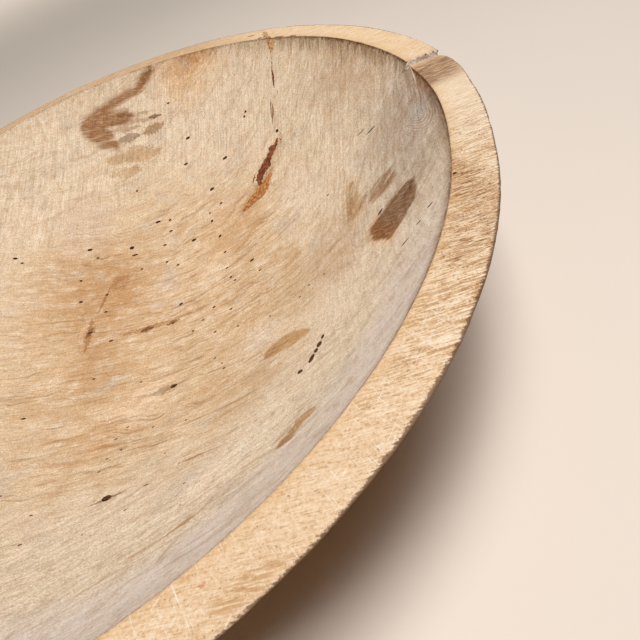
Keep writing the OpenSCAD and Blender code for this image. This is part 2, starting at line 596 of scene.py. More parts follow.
@dataclass(frozen=True)
class Smudge:
    """Soft stain along a line between two pixels, which thins out towards its ends; a few are painted shadow.
    """

    kind: StainKind
    start: Pixel
    end: Pixel
    width: float
    strength: float = 0.8
    on_rim: bool = False
    ends: float = 0.65
    SPREAD: ClassVar[float] = 0.66
    SMEAR_GAIN: ClassVar[float] = 4.4
    EDGE: ClassVar[tuple[float, float]] = (1.3, 0.5)

    def lay(self, bench: Bench, place: Signal, colour: Signal, smear: Signal) -> Signal:
        """Darken a colour along the line.

        Args:
            bench: Bench of the material.
            place: Place in millimetres.
            colour: Colour below.
            smear: Random share that makes the edge uneven.

        Returns:
            The stained colour.
        """
        first, last = (PHOTO.on_bowl(pixel, self.on_rim) for pixel in (self.start, self.end))
        way = last - first
        share = bench.dot(place, tuple(way / way.length_squared)) - first.dot(way) / way.length_squared
        share = share.most(0.0).least(1.0)
        along = bench.vector("MULTIPLY", bench.join(share, share, share), tuple(way))
        nearest = bench.vector("ADD", along, tuple(first))
        half = self.width * self.SPREAD * PHOTO.millimetres((first + last) / 2)
        reach = (1.0 - abs(share * 2.0 - 1.0) * self.ends) * half
        gap = bench.distance(place, nearest) / reach + (smear - 0.5) * self.SMEAR_GAIN
        return bench.mix(gap.rise(*self.EDGE) * self.strength, colour, self.kind.leaves, "MULTIPLY")


SMUDGES: tuple[Smudge, ...] = (
    Smudge(StainKind.STREAKED, (107, 117), (147, 111.5), 5.5, 0.45),
    Smudge(StainKind.STREAKED, (108, 124.5), (154, 118), 5.0, 0.45),
    Smudge(StainKind.STREAKED, (108, 132), (140, 126), 5.0, 0.5),
    Smudge(StainKind.WASHED, (110, 112), (133, 106), 4.0, 0.7),
    Smudge(StainKind.SHADOW, (120, 141), (138, 135), 8.0, 0.75),
    Smudge(StainKind.WASHED, (145, 133), (162, 124), 11.0, 0.9),
    Smudge(StainKind.FAINT, (111, 160), (158, 150), 18.0, 0.75),
    Smudge(StainKind.FAINT, (112, 176), (140, 169), 10.0, 0.6),
    Smudge(StainKind.OIL, (149, 117.5), (161, 114.6), 3.4, 0.95),
    Smudge(StainKind.SHADOW, (143, 69), (150, 65), 8.0, 0.8),
    Smudge(StainKind.STREAKED, (134, 87), (150, 66), 9.0, 0.65),
    Smudge(StainKind.OIL, (412, 182), (404, 197), 11.0, 0.45),
    Smudge(StainKind.RUST, (176, 60), (216, 49), 12.0, 0.5),
    Smudge(StainKind.RUST, (165, 72), (196, 62), 26.0, 0.35),
    Smudge(StainKind.RUST, (265, 357), (273, 352), 3.2, 0.5),
    Smudge(StainKind.FAINT, (273, 444), (292, 424), 12.0, 0.6),
    Smudge(StainKind.FAINT, (288, 423), (306, 404), 9.0, 0.5),
    Smudge(StainKind.RUST, (165, 536), (204, 508), 7.0, 0.75),
    Smudge(StainKind.FAINT, (126, 559), (168, 535), 8.0, 0.6),
    Smudge(StainKind.FAINT, (156, 563), (173, 541), 4.5, 0.5),
    Smudge(StainKind.RUST, (240, 469), (266, 453), 7.0, 0.45),
    Smudge(StainKind.RUST, (179, 463), (204, 452.5), 4.5, 0.85),
    Smudge(StainKind.OIL, (88, 506.5), (127, 490), 5.0, 0.8, ends=0.95),
    # Painted shadow beside the knot hole.
    Smudge(StainKind.SHADOW, (151, 395), (174, 386), 9.0, 0.6),
    Smudge(StainKind.RUST, (112, 289), (129, 276), 14.0, 0.5),
    Smudge(StainKind.RUST, (99.5, 311), (110, 288), 3.0, 0.75),
    Smudge(StainKind.RUST, (124, 335), (190, 312.5), 6.0, 0.75),
    Smudge(StainKind.OIL, (141, 331.5), (153, 327.5), 4.6, 0.85),
    Smudge(StainKind.OIL, (167, 325), (179, 319.5), 4.0, 0.8),
    Smudge(StainKind.OIL, (86.5, 337), (95, 327), 5.5, 0.6),
    Smudge(StainKind.RUST, (85, 352), (92, 320), 6.0, 0.7),
    Smudge(StainKind.RUST, (374, 258), (378, 255), 5.0, 0.5),
    Smudge(StainKind.WASHED, (349, 219), (351.5, 184), 15.0, 0.4),
    Smudge(StainKind.WASHED, (353, 219), (361, 204), 11.0, 0.3),
    Smudge(StainKind.WASHED, (360, 208), (367, 192), 8.0, 0.6),
    Smudge(StainKind.OIL, (324, 334), (309, 363), 3.0, 0.4),
    Smudge(StainKind.RUST, (281, 136), (257, 187), 15.0, 0.4),
    Smudge(StainKind.RUST, (272, 171), (242, 212), 16.0, 0.4),
)


RIM_SMUDGES: tuple[Smudge, ...] = (
    Smudge(StainKind.RUST, (476, 299), (481, 281), 10.0, 0.7, True),
    Smudge(StainKind.BLUSH, (413, 364), (420, 360), 5.0, 0.6, True),
    Smudge(StainKind.OIL, (248, 36.4), (254, 35.2), 2.6, 0.9, True),
    Smudge(StainKind.OIL, (257, 38.4), (262, 37.4), 2.6, 0.9, True),
    Smudge(StainKind.OIL, (273, 37), (283, 35.8), 2.2, 0.9, True),
    Smudge(StainKind.OIL, (288, 36), (296, 35.2), 2.6, 0.9, True),
    Smudge(StainKind.OIL, (355, 42.5), (365, 43.5), 3.4, 0.9, True),
    Smudge(StainKind.BLUSH, (199, 587), (205, 582), 6.0, 0.6, True),
    # Painted shadow line along the lower edge of the grey bead on the crack.
    Smudge(StainKind.SHADOW, (412, 63.4), (436, 53.2), 4.0, 0.75, True, 0.2),
)


STAINS: tuple[Stain, ...] = (
    Stain(StainKind.OIL, (
        (414.2, 177.5), (416.4, 184), (415.6, 196), (405.5, 214.5), (391, 238), (373.5, 241.5), (369, 230.5),
        (383.5, 210.5), (396.5, 193), (406, 182.5)), 0.9),
    Stain(StainKind.BURNT, (
        (368, 232), (376, 217), (398, 228), (392, 240), (373, 243)), 4.0, bite=(0.0, 0.9)),
    Stain(StainKind.WASHED, (
        (396.5, 174.5), (391, 168), (381, 175), (371.5, 189), (368.8, 200.5), (372.5, 204),
        (386, 190)), 1.4, bite=(0.3, 0.56)),
    Stain(StainKind.TEA, (
        (346, 184), (352, 181), (358, 188), (363, 199), (366, 206), (360, 214), (352, 222), (346, 220),
        (344, 204)), 7.0, bite=(0.1, 0.7)),
    Stain(StainKind.STREAKED, (
        (92, 106.5), (104, 102.5), (109, 109.5), (103, 122), (83, 132), (79.5, 124),
        (83.5, 114.5)), 3.4, bite=(0.02, 0.52), also=(
            ((148, 62), (153, 65.5), (148, 78), (139, 91), (132, 87), (138, 75)),
            ((136, 84), (140, 90), (122.5, 100.5), (104, 110), (98, 105), (112, 96.5), (126, 89.5)),
            ((80, 120), (98, 117), (110, 131), (120, 144), (118, 149), (103, 148), (88, 141.5), (80, 131)),
            ((98, 108), (126, 110), (134, 116), (126, 124), (100, 130)))),
    Stain(StainKind.TEA, (
        (264.3, 358.8), (264.6, 355), (268.5, 348.5), (280, 339), (294, 330.8), (303.5, 328.2), (310.6, 329),
        (309.5, 333), (303, 338), (291, 345.5), (279, 354), (270.5, 358.2)), 0.6, bite=(-1.0, 0.0)),
    Stain(StainKind.RUST, (
        (276.3, 448), (280.5, 440), (288.5, 433.2), (295.2, 431), (294.2, 435), (287, 442),
        (280, 447.4)), 0.9, bite=(0.0, 0.55), also=(
            ((291.2, 427.6), (296, 419.2), (306, 410.6), (316, 405), (316, 408), (309, 416.4), (300, 424),
             (294, 427.8)),
            ((286, 440), (289, 431), (295, 424), (302, 417), (303, 422), (297, 430), (291, 437)))),
)


RIM_STAINS: tuple[Stain, ...] = (
    Stain(StainKind.GREYED, (
        (404, 68), (420, 58), (438, 48), (452, 47), (464, 54), (470, 66), (450, 75), (424, 82),
        (410, 78)), 7.0, True, (0.2, 0.5)),
    Stain(StainKind.WEATHERED, (
        (409, 67), (424, 59), (438, 52), (450, 49.5), (458, 56.5), (453, 67), (440, 78), (424, 85),
        (414, 79)), 5.0, True, (0.4, 0.55)),
    Stain(StainKind.STREAKED, (
        (452, 158), (490, 172), (500, 205), (492, 218), (462, 210), (446, 184)), 3.0, True, (0.48, 0.6)),
    Stain(StainKind.STREAKED, ((448, 214), (494, 226), (492, 262), (446, 266)), 3.0, True, (0.53, 0.65)),
    Stain(StainKind.FAINT, (
        (268, 556), (290, 560), (232, 612), (206, 624), (214, 604)), 3.0, True, (0.42, 0.6)),
)


@dataclass(frozen=True)
class ToneZone:
    """Soft round area of the wood with its own tint, placed by a pixel."""

    name: str
    pixel: Pixel
    radius: float
    tint: tuple[int, int, int]
    strength: float
    CORE: ClassVar[float] = 0.15

    def lay(self, bench: Bench, place: Signal, colour: Signal) -> Signal:
        """Blend the tint over a colour.

        Args:
            bench: Bench of the material.
            place: Place in millimetres.
            colour: Colour below.

        Returns:
            The tinted colour.
        """
        middle = PHOTO.on_wall(self.pixel)
        share = bench.distance(place, tuple(middle)).rise(self.radius, self.CORE * self.radius)
        return bench.mix(share * self.strength, colour, srgb(*self.tint))


TONE_ZONES: tuple[ToneZone, ...] = (
    ToneZone("brown floor on the left", (104, 292), 74.0, (193, 147, 99), 0.85),
    ToneZone("grey floor at the far left", (84, 225), 40.0, (219, 193, 167), 0.7),
    ToneZone("tan floor below the split", (238, 226), 46.0, (211, 168, 123), 0.7),
    ToneZone("tan floor on the near side", (98, 382), 42.0, (202, 160, 114), 0.7),
    ToneZone("pale floor on the near side", (142, 402), 30.0, (242, 210, 174), 0.8),
    ToneZone("tan floor near the broken lines", (248, 386), 34.0, (208, 174, 136), 0.7),
    ToneZone("tan wall on the right", (300, 282), 38.0, (206, 175, 138), 0.7),
    ToneZone("tan wall beside the stains", (338, 248), 40.0, (206, 175, 143), 0.75),
    ToneZone("pale wall on the far side", (215, 120), 70.0, (233, 210, 182), 0.6),
    ToneZone("pale wall beside the split", (302, 190), 34.0, (238, 215, 190), 0.75),
    ToneZone("amber floor beside the split", (290, 260), 18.0, (204, 166, 122), 0.7),
    ToneZone("pale floor in the middle", (212, 272), 24.0, (234, 205, 172), 0.7),
    ToneZone("brown floor at the lower left", (98, 356), 30.0, (192, 148, 102), 0.7),
    ToneZone("amber wall at the lower left", (100, 440), 24.0, (214, 168, 122), 0.7),
    ToneZone("pale wall on the near side", (215, 478), 36.0, (247, 224, 198), 0.7),
    ToneZone("pale wall near the lower stain", (262, 438), 30.0, (244, 224, 198), 0.6),
    ToneZone("grey wall on the near right", (322, 402), 34.0, (234, 217, 196), 0.6),
    ToneZone("grey wall on the near side", (252, 492), 30.0, (234, 217, 200), 0.6),
    ToneZone("tan floor beside the knot", (204, 392), 20.0, (204, 162, 118), 0.55),
    ToneZone("grey patch on the floor", (168, 284), 16.0, (214, 194, 174), 0.6),
    ToneZone("grey figure on the floor", (262, 337), 22.0, (228, 208, 186), 0.6),
    ToneZone("orange wall under the far rim", (184, 62), 50.0, (234, 190, 142), 0.75),
    ToneZone("brown wall under the far rim", (352, 52), 56.0, (206, 176, 144), 0.9),
    ToneZone("grey end grain by the crack", (412, 108), 62.0, (190, 169, 150), 0.95),
    ToneZone("grey heart of the rings", (416, 112), 12.0, (178, 168, 158), 0.8),
    ToneZone("grey wall above the stains", (412, 168), 48.0, (198, 178, 158), 0.6),
)


@dataclass(frozen=True)
class LogLine:
    """Middle line of the log that the bowl was turned from, and the way its fibres run."""

    through: tuple[float, float, float] = (203.9, 15.9, 117.1)
    turn: float = 20.0
    tilt: float = 4.0
    fibre_turn: float = 5.5
    scratch_turns: tuple[float, float] = (52.0, 118.0)
    swirl_pixel: Pixel = (416.0, 112.0)
    swirl_gap: float = 1.15
    swirl_reach: float = 17.0
    figure_pixel: Pixel = (258.0, 300.0)

    @property
    def fibres(self) -> Vector:
        """Level direction along the fibres."""
        turn = math.radians(self.fibre_turn)
        return Vector((math.cos(turn), math.sin(turn), 0.0))

    @property
    def side(self) -> Vector:
        """Level direction square to the fibres."""
        turn = math.radians(self.fibre_turn)
        return Vector((-math.sin(turn), math.cos(turn), 0.0))

    def axes(self) -> tuple[Vector, Vector, Vector]:
        """Unit vectors along the log, level across it, and square to both."""
        turn, tilt = math.radians(self.turn), math.radians(self.tilt)
        along = Vector((math.cos(tilt) * math.cos(turn), math.cos(tilt) * math.sin(turn), math.sin(tilt)))
        across = Vector((-math.sin(turn), math.cos(turn), 0.0))
        return along, across, along.cross(across)


LOG_LINE = LogLine()


@dataclass(frozen=True)
class StreakSize:
    """Random streaks: swells per millimetre across and along, finer layers, and sway in millimetres."""

    across: float
    along: float
    detail: float = 2.0
    sway: float = 0.0


class Grain(Enum):
    """Streaks of the wood, from broad clouds to fine fibres and the marks of the saw."""

    CLOUD = StreakSize(0.13, 0.045, 4.0, 8.0)
    WALL_MOTTLE = StreakSize(0.2, 0.14, 4.0, 8.0)
    FLOOR_MOTTLE = StreakSize(0.2, 0.11, 4.0, 8.0)
    RING_LINE = StreakSize(0.1, 0.006)
    SWAY_LINE = StreakSize(0.12, 0.005, 1.5, 30.0)
    HAIR = StreakSize(1.5, 0.03, 1.0, 5.0)
    DASH = StreakSize(1.2, 0.2)
    WEAVE = StreakSize(1.1, 0.16, 2.0, 3.0)
    RING_FINE = StreakSize(1.1, 0.06, 3.0)
    WALL_FINE = StreakSize(1.0, 0.05, 3.0, 6.0)
    FIBRE_FINE = StreakSize(1.0, 0.06, 3.0, 3.0)
    FRAY = StreakSize(0.42, 0.04, 3.0)
    DRIPS = StreakSize(0.8, 0.02, 3.0, 5.0)
    SAW = StreakSize(1.5, 0.15)
    WIDE_SAW = StreakSize(0.22, 0.03)
    NICK = StreakSize(2.6, 0.34)
    TEAR = StreakSize(0.95, 0.12, 1.0)
    SCRATCH = StreakSize(2.4, 0.09, 1.0)


@dataclass(frozen=True)
class SpeckSize:
    """Random specks: swells per millimetre, finer layers, and their strength."""

    per_mm: float
    detail: float = 2.0
    rough: float = 0.5


class Speckle(Enum):
    """Specks of the wood, from slow swells to fine pits."""

    SWELL = SpeckSize(0.018, 3.0)
    FIGURE = SpeckSize(0.03)
    VEIL = SpeckSize(0.05, 3.0)
    CURL = SpeckSize(0.06)
    GRIT = SpeckSize(0.5, 3.0, 0.6)
    SMEAR = SpeckSize(0.5, 4.0, 0.7)
    PIT = SpeckSize(1.0, 1.0)
    STIPPLE = SpeckSize(1.3, 2.0, 0.7)
    SPECK = SpeckSize(1.4, 2.0, 0.6)


class Tint(Enum):
    """Tints of the wood as screen colours."""

    NEAR_WALL = (236, 214, 186)
    NEAR_BAND = (238, 222, 209)
    CLOUD_DARK = (192, 144, 94)
    CLOUD_PALE = (240, 220, 192)
    VEIL = (204, 186, 168)
    MOTTLE_DARK = (192, 156, 118)
    MOTTLE_PALE = (246, 230, 208)
    HAIR = (128, 84, 50)
    RING_LINE = (146, 98, 54)
    FIGURE = (172, 126, 80)
    DASH = (128, 90, 58)
    FAR_RIM = (252, 217, 172)
    TEAR = (146, 100, 60)
    BLEACHED_RIM = (255, 240, 216)
    NEAR_RIM = (228, 190, 150)
    INNER_RIM = (224, 174, 116)
    SCRATCH = (253, 243, 228)
    PIT = (140, 96, 60)
    TORN_PIT = (120, 80, 48)
    # Painted highlight on the lit edge of the wood below the lip's gap.
    LIP_EDGE = (246, 234, 218)
    # Dark ragged line at the top of the wall, partly painted shade on the right wall.
    RAGGED_EDGE = (96, 64, 38)
    # Dark line along the outer edge of the rim's top: partly wear, partly painted shade of the rounded edge
    # below it.
    WORN_EDGE = (100, 66, 40)
    BRINK = (150, 104, 62)
    ARRIS = (140, 98, 60)


class Wash(Enum):
    """What a darkening leaves of the wood's colour, channel by channel: dark washes, and painted shade under
    the rim and in the lip's gap.
    """

    FAR_LEFT_RIM = (0.78, 0.71, 0.66)
    # Painted shadow in the gap under the sprung lip.
    LIP_GAP = (0.86, 0.66, 0.52)
    FRINGE = (0.42, 0.31, 0.22)
    # Painted shade on the wall just under the rim's inner edge.
    GRIME = (0.56, 0.48, 0.41)
    # Painted shade under the rim's inner edge on the right wall.
    EAVES = (0.56, 0.45, 0.36)


class WoodRamp(Enum):
    """Runs of screen colours: places from 0 to 1, each with its tint."""

    HOLLOW = ((0.14, (217, 183, 144)), (0.3, (220, 188, 150)), (0.48, (226, 199, 166)),
              (0.72, (231, 208, 178)), (1.0, (226, 200, 168)))
    SAWN_RIM = ((0.4, (182, 138, 94)), (0.47, (224, 188, 147)), (0.53, (240, 210, 174)),
                (0.61, (252, 234, 208)))
    OUTSIDE = ((0.3, (138, 104, 70)), (0.5, (174, 136, 96)), (0.7, (200, 164, 122)))

    @property
    def stops(self) -> tuple[tuple[float, Colour], ...]:
        """Stops that a ramp takes."""
        return tuple((place, srgb(*tint)) for place, tint in self.value)


class Stretch(Enum):
    """Stretches of the rim in degrees from the crack: where each fades in, and where it fades out."""

    CROSS_SAWN = ((-62.0, -42.0), (-6.0, -18.0))
    TORN = ((-52.0, -40.0), (-12.0, -24.0))
    BLEACHED = ((-32.0, -14.0), (-4.0, -10.0))
    DARK_EDGE = ((-70.0, -56.0), (-4.0, -14.0))
    # Where painted shade falls under the rim on the right wall.
    EAVES = ((-68.0, -42.0), (-2.0, -22.0))
    # Where dark drips and painted shade run down the wall under the rim.
    GRIMY = ((-26.0, -8.0), (64.0, 24.0))


class Side(Enum):
    """Level directions towards sides of the bowl, as the photograph shows it."""

    NEAR = (0.3, -0.95, 0.0)
    NEAR_RIGHT = (0.62, -0.78, 0.0)
    FAR = (0.42, 0.9, 0.0)


class BowlWood:
    """Bare, dry, worn wood of the bowl: growth rings, fibres, stains, a sawn rim, dark edges that are partly
    painted shade, painted shade under the rim and in the lip's gap, and a painted highlight below that gap.
    """

    def __init__(self, log: LogLine) -> None:
        """Start the material and lay out what its layers share: the log's coordinates and the grain."""
        self.log = log
        self.bench = Bench("bowl_wood")
        self.place = self.bench.place()
        self.height = self.bench.dot(self.place, (0.0, 0.0, 1.0))
        round_turn = self.bench.math("ARCTAN2", self.bench.dot(self.place, (0.0, 1.0, 0.0)),
                                     self.bench.dot(self.place, (1.0, 0.0, 0.0)))
        self.angle = round_turn * math.degrees(1.0) - SIZES.crack_az
        self.swell = self._speckle(Speckle.SWELL) - 0.5
        self.curl = self._speckle(Speckle.CURL) - 0.5
        self.ring_place = self._ring_place()
        self.low = (self.height + self.swell * 60.0).rise(74.0, 40.0)
        self.near = self._toward(Side.NEAR_RIGHT, -10.0, 120.0)
        high = (self.height + self.swell * 16.0 + self.curl * 8.0).rise(88.0, 106.0)
        self.band = high * self._toward(Side.NEAR, 70.0, 165.0)
        self.rim = self.bench.attribute("rim_share")
        self.inner = self.bench.attribute("inner_edge_share")
        self.below = self.bench.attribute("below_rim")
        self.upright = Vector(PHOTO.right)
        self.speck = self._speckle(Speckle.SPECK)
        self.ring_fine = self._rings(Grain.RING_FINE)
        self.fine = self._fine()
        self.fray = self._streaks(log.side, Grain.FRAY)
        self.saw = self._streaks(log.side, Grain.SAW)
        self.drips = self._streaks(self.upright, Grain.DRIPS)

    def _speckle(self, kind: Speckle, where: Optional[Signal] = None) -> Signal:
        """Random specks on the piece, or at another place if one is given."""
        size = kind.value
        return self.bench.noise(self.place if where is None else where, size.per_mm, size.detail, size.rough)

    def _toward(self, side: Side, low: float, high: float) -> Signal:
        """Share that rises towards one side of the bowl, between two distances from its axis."""
        return self.bench.dot(self.place, side.value).rise(low, high)

    def _on(self, stretch: Stretch) -> Signal:
        """Share of a stretch of the rim."""
        fade_in, fade_out = stretch.value
        return self.angle.rise(*fade_in) * self.angle.rise(*fade_out)

    def _tint(self, share: Signal, colour: Signal, tint: Tint) -> Signal:
        """Blend a tint over a colour."""
        return self.bench.mix(share, colour, srgb(*tint.value))

    def _wash(self, share: Signal, colour: Signal, wash: Wash) -> Signal:
        """Darken a colour with a wash."""
        return self.bench.mix(share, colour, (*wash.value, 1.0), "MULTIPLY")

    def _ring_place(self) -> Signal:
        """Coordinates in millimetres across the rings, along the log and round it."""
        bench = self.bench
        along_axis, across_axis, up_axis = self.log.axes()
        start = bench.vector("SUBTRACT", self.place, self.log.through)
        along = bench.dot(start, tuple(along_axis))
        across = bench.dot(start, tuple(across_axis)) + self.swell * 14.0 + self.curl * 4.0
        height = bench.dot(start, tuple(up_axis)) + self.swell * 8.0
        reach = (across * across + height * height).root()
        return bench.join(reach, along, bench.math("ARCTAN2", across, height * -1.0) * reach)

    def _rings(self, grain: Grain) -> Signal:
        """Random streaks that follow the growth rings, as a share around one half."""
        size = grain.value
        where = self.bench.vector("MULTIPLY", self.ring_place, (size.across, size.along, size.along))
        return self.bench.noise(where, 1.0, size.detail, 0.55)

    def _streaks(self, side: Vector, grain: Grain) -> Signal:
        """Random streaks that lie in sheets square to one direction.

        Args:
            side: Direction square to the sheets.
            grain: Streaks that are laid.

        Returns:
            A share around one half.
        """
        bench, size = self.bench, grain.value
        first = side.cross(Vector((0, 0, 1))).normalized()
        second = side.cross(first)
        across = bench.dot(self.place, tuple(side * size.across))
        if size.sway:
            across = across + (self.curl * 0.25 + self.swell) * (size.sway * size.across)
        where = bench.join(bench.dot(self.place, tuple(first * size.along)), across,
                           bench.dot(self.place, tuple(second * size.along)))
        return bench.noise(where, 1.0, size.detail, 0.55)

    def _fine(self) -> Signal:
        """Narrow streaks: rings on the near wall, upright on the far wall, along the fibres on the floor."""
        wall_fine = self._streaks(self.upright, Grain.WALL_FINE)
        fibre_fine = self._streaks(self.log.side, Grain.FIBRE_FINE)
        far_half = self._toward(Side.FAR, -100.0, 70.0)
        fine = self.ring_fine + (wall_fine - self.ring_fine) * far_half
        return fine + (fibre_fine - fine) * self.low

    def _swirl(self) -> Signal:
        """Fine arcs of the rings round the heart of the log, from -1 to 1."""
        bench = self.bench
        heart = PHOTO.on_wall(self.log.swirl_pixel)
        axis = PHOTO.ray(self.log.swirl_pixel)
        offset = bench.vector("SUBTRACT", self.place, tuple(heart))
        along = bench.dot(offset, tuple(axis))
        reach = (bench.dot(offset, offset) - along * along).most(0.0).root()
        lower = bench.dot(offset, tuple(-Vector(PHOTO.up))).rise(-5.0, 5.0) * 0.8 + 0.2
        arcs = bench.math("SINE", reach * (math.tau / self.log.swirl_gap) + self.curl * 9.0)
        return arcs * reach.rise(self.log.swirl_reach, 6.0) * lower

    def _tones(self) -> Signal:
        """Broad tones of the hollow: a warm floor, pale walls, and the zones read off the photograph."""
        level = (self.height + self.swell * 40.0) * (1.0 / SIZES.bowl_h)
        colour = self.bench.ramp(level, WoodRamp.HOLLOW.stops)
        colour = self._tint(self.near * level.rise(0.28, 0.6) * 0.9, colour, Tint.NEAR_WALL)
        colour = self._tint(self.band * 0.95, colour, Tint.NEAR_BAND)
        for zone in TONE_ZONES:
            colour = zone.lay(self.bench, self.place, colour)
        return colour

    def _blotch(self, colour: Signal, veil: Signal) -> Signal:
        """Blotch a colour with clouds, a grey veil and mottle.

        Args:
            colour: Colour below.
            veil: Slow random share that greys the wood.

        Returns:
            The blotched colour.
        """
        side = self.log.side
        cloud = self._streaks(side, Grain.CLOUD)
        colour = self._tint(cloud.rise(0.5, 0.7) * (self.low * 0.26 + 0.12), colour, Tint.CLOUD_DARK)
        colour = self._tint(cloud.rise(0.48, 0.3) * 0.32, colour, Tint.CLOUD_PALE)
        colour = self._tint(veil.rise(0.54, 0.7) * 0.35, colour, Tint.VEIL)
        wall_mottle = self._streaks(self.upright, Grain.WALL_MOTTLE)
        mottle = wall_mottle + (self._streaks(side, Grain.FLOOR_MOTTLE) - wall_mottle) * self.low
        colour = self._tint(mottle.rise(0.5, 0.72) * 0.42, colour, Tint.MOTTLE_DARK)
        return self._tint(mottle.rise(0.5, 0.28) * 0.38, colour, Tint.MOTTLE_PALE)

    def _figure(self, colour: Signal, veil: Signal) -> Signal:
        """Draw hairs, growth lines, the curly figure of the floor and short dashes over a colour.

        Args:
            colour: Colour below.
            veil: Slow random share that hides the dashes.

        Returns:
            The figured colour.
        """
        bench, side, fray = self.bench, self.log.side, self.fray
        ring_line = abs(self._rings(Grain.RING_LINE) - 0.5).rise(0.03, 0.0) * 0.2
        sway_line = abs(self._streaks(side, Grain.SWAY_LINE) - 0.5).rise(0.03, 0.004)
        sway_line = sway_line * fray.rise(0.42, 0.6) * 0.5
        hair = self._streaks(side, Grain.HAIR).rise(0.66, 0.74) * self.low.most(self.near * (1.0 - self.band))
        colour = self._tint(hair * 0.26, colour, Tint.HAIR)
        colour = self._tint(ring_line + (sway_line - ring_line) * self.low, colour, Tint.RING_LINE)
        bent = bench.vector("ADD", self.place, bench.join(self.curl * 34.0, self.swell * 70.0, 0.0))
        wave = bench.math("FRACT", self._speckle(Speckle.FIGURE, bent) * 13.0)
        middle = tuple(PHOTO.on_wall(self.log.figure_pixel))
        curly = bench.distance(self.place, middle).rise(58.0, 14.0) * 0.7 + 0.12
        crest = abs(wave - 0.5).rise(0.17, 0.0) * curly * fray.rise(0.3, 0.6)
        colour = self._tint(crest * 0.5, colour, Tint.FIGURE)
        dashes = self._streaks(side, Grain.DASH).rise(0.66, 0.78) * veil.rise(0.62, 0.4)
        return self._tint(dashes * 0.6, colour, Tint.DASH)

    def _hollow_colour(self) -> Signal:
        """Colour of the hollow's wall and floor, with its figure, stains and grain."""
        bench = self.bench
        veil = self._speckle(Speckle.VEIL)
        colour = self._figure(self._blotch(self._tones(), veil), veil)
        weave = self._streaks(Vector(PHOTO.up), Grain.WEAVE)
        for stain in STAINS:
            colour = stain.lay(bench, self.place, colour, self.fray, self.speck, weave)
        smear = self.fray * 0.45 + self._speckle(Speckle.SMEAR) * 0.55
        for smudge in SMUDGES:
            colour = smudge.lay(bench, self.place, colour, smear)
        grit = self._speckle(Speckle.GRIT)
        grain = (self.fine - 0.5) * 0.85 + (self.speck - 0.5) * 1.5 + (grit - 0.5) * 0.5
        grain = grain * (1.0 - self.band * 0.35) + self._swirl() * 0.16
        shade = bench.join(grain * 0.85 + 1.0, grain + 1.0, grain * 1.2 + 1.0)
        return bench.mix(1.0, colour, shade, "MULTIPLY")

    def _rim_colour(self) -> Signal:
        """Colour of the sawn, blond top of the rim, with its saw marks, scratches, pits and stains."""
        bench, side = self.bench, self.log.side
        stipple = self._speckle(Speckle.STIPPLE)
        wide = self._streaks(side, Grain.WIDE_SAW)
        nick = self._streaks(side, Grain.NICK)
        crossed, torn = self._on(Stretch.CROSS_SAWN), self._on(Stretch.TORN)
        far = self._toward(Side.FAR, 60.0, 170.0)
        lines = (nick - 0.5) * (crossed * 0.16 + 0.26)
        lines = lines + (self.saw - 0.5) * (crossed * 0.55 + far * 0.34 + 0.1)
        tone = lines + (stipple - 0.5) * (crossed * 0.12 + 0.3) + (wide - 0.5) * (crossed * 0.16 + 0.08) + 0.5
        colour = bench.ramp(tone, WoodRamp.SAWN_RIM.stops)
        colour = self._tint(far * 0.42, colour, Tint.FAR_RIM)
        tear = self._streaks(side, Grain.TEAR).rise(0.57, 0.68) * stipple.rise(0.36, 0.56)
        colour = self._tint(tear * (torn * 0.62 + crossed * 0.12), colour, Tint.TEAR)
        colour = self._tint(self._on(Stretch.BLEACHED) * 0.35, colour, Tint.BLEACHED_RIM)
        colour = self._tint(self.near * 0.2, colour, Tint.NEAR_RIM)
        colour = self._wash(self.angle.rise(38.0, 64.0), colour, Wash.FAR_LEFT_RIM)
        colour = self._tint(self.inner * 0.32, colour, Tint.INNER_RIM)
        patch = self.curl + 0.5
        for turn in self.log.scratch_turns:
            way = Matrix.Rotation(math.radians(turn), 3, "Z") @ side
            scratch = self._streaks(way, Grain.SCRATCH).rise(0.64, 0.73) * patch.rise(0.4, 0.6)
            colour = self._tint(scratch * 0.6, colour, Tint.SCRATCH)
        pit = self._speckle(Speckle.PIT)
        colour = self._tint(pit.rise(0.7, 0.78) * 0.6, colour, Tint.PIT)
        colour = self._tint(pit.rise(0.6, 0.72) * torn * 0.6, colour, Tint.TORN_PIT)
        for smudge in RIM_SMUDGES:
            colour = smudge.lay(bench, self.place, colour, stipple)
        for stain in RIM_STAINS:
            colour = stain.lay(bench, self.place, colour, self.saw, self.speck, stipple)
        return colour

    def _rim_drips_and_shade(self, colour: Signal) -> Signal:
        """Streak dark drips down the wall under the rim, paint shade on the wall just under the rim's inner
        edge, and draw its ragged upper edge, which is partly painted shade on the right.
        """
        below, drips_and_shade, eaves_shade = self.below, self._on(Stretch.GRIMY), self._on(Stretch.EAVES)
        fringe = (below + (0.5 - self.drips) * 44.0).rise(8.0, 0.0) * below.rise(24.0, 5.0)
        colour = self._wash(fringe * (drips_and_shade * 0.55), colour, Wash.FRINGE)
        # Painted shade on the wall just under the rim's inner edge, deeper on the right wall.
        colour = self._wash(below.rise(13.0, 0.0) * (drips_and_shade * 0.36 + 0.04), colour, Wash.GRIME)
        colour = self._wash(below.rise(7.0, 0.0) * (eaves_shade * 0.7), colour, Wash.EAVES)
        # Dark ragged line at the top of the wall; the eaves share makes it partly painted shade on the right.
        ragged = (below + (self.speck - 0.5) * 5.0 + (0.5 - self.fine) * 6.0).rise(1.8, 0.0)
        strength = (1.0 - self.rim) * (drips_and_shade * 0.5 + eaves_shade * 0.25 + 0.4)
        return self._tint(ragged * strength, colour, Tint.RAGGED_EDGE)

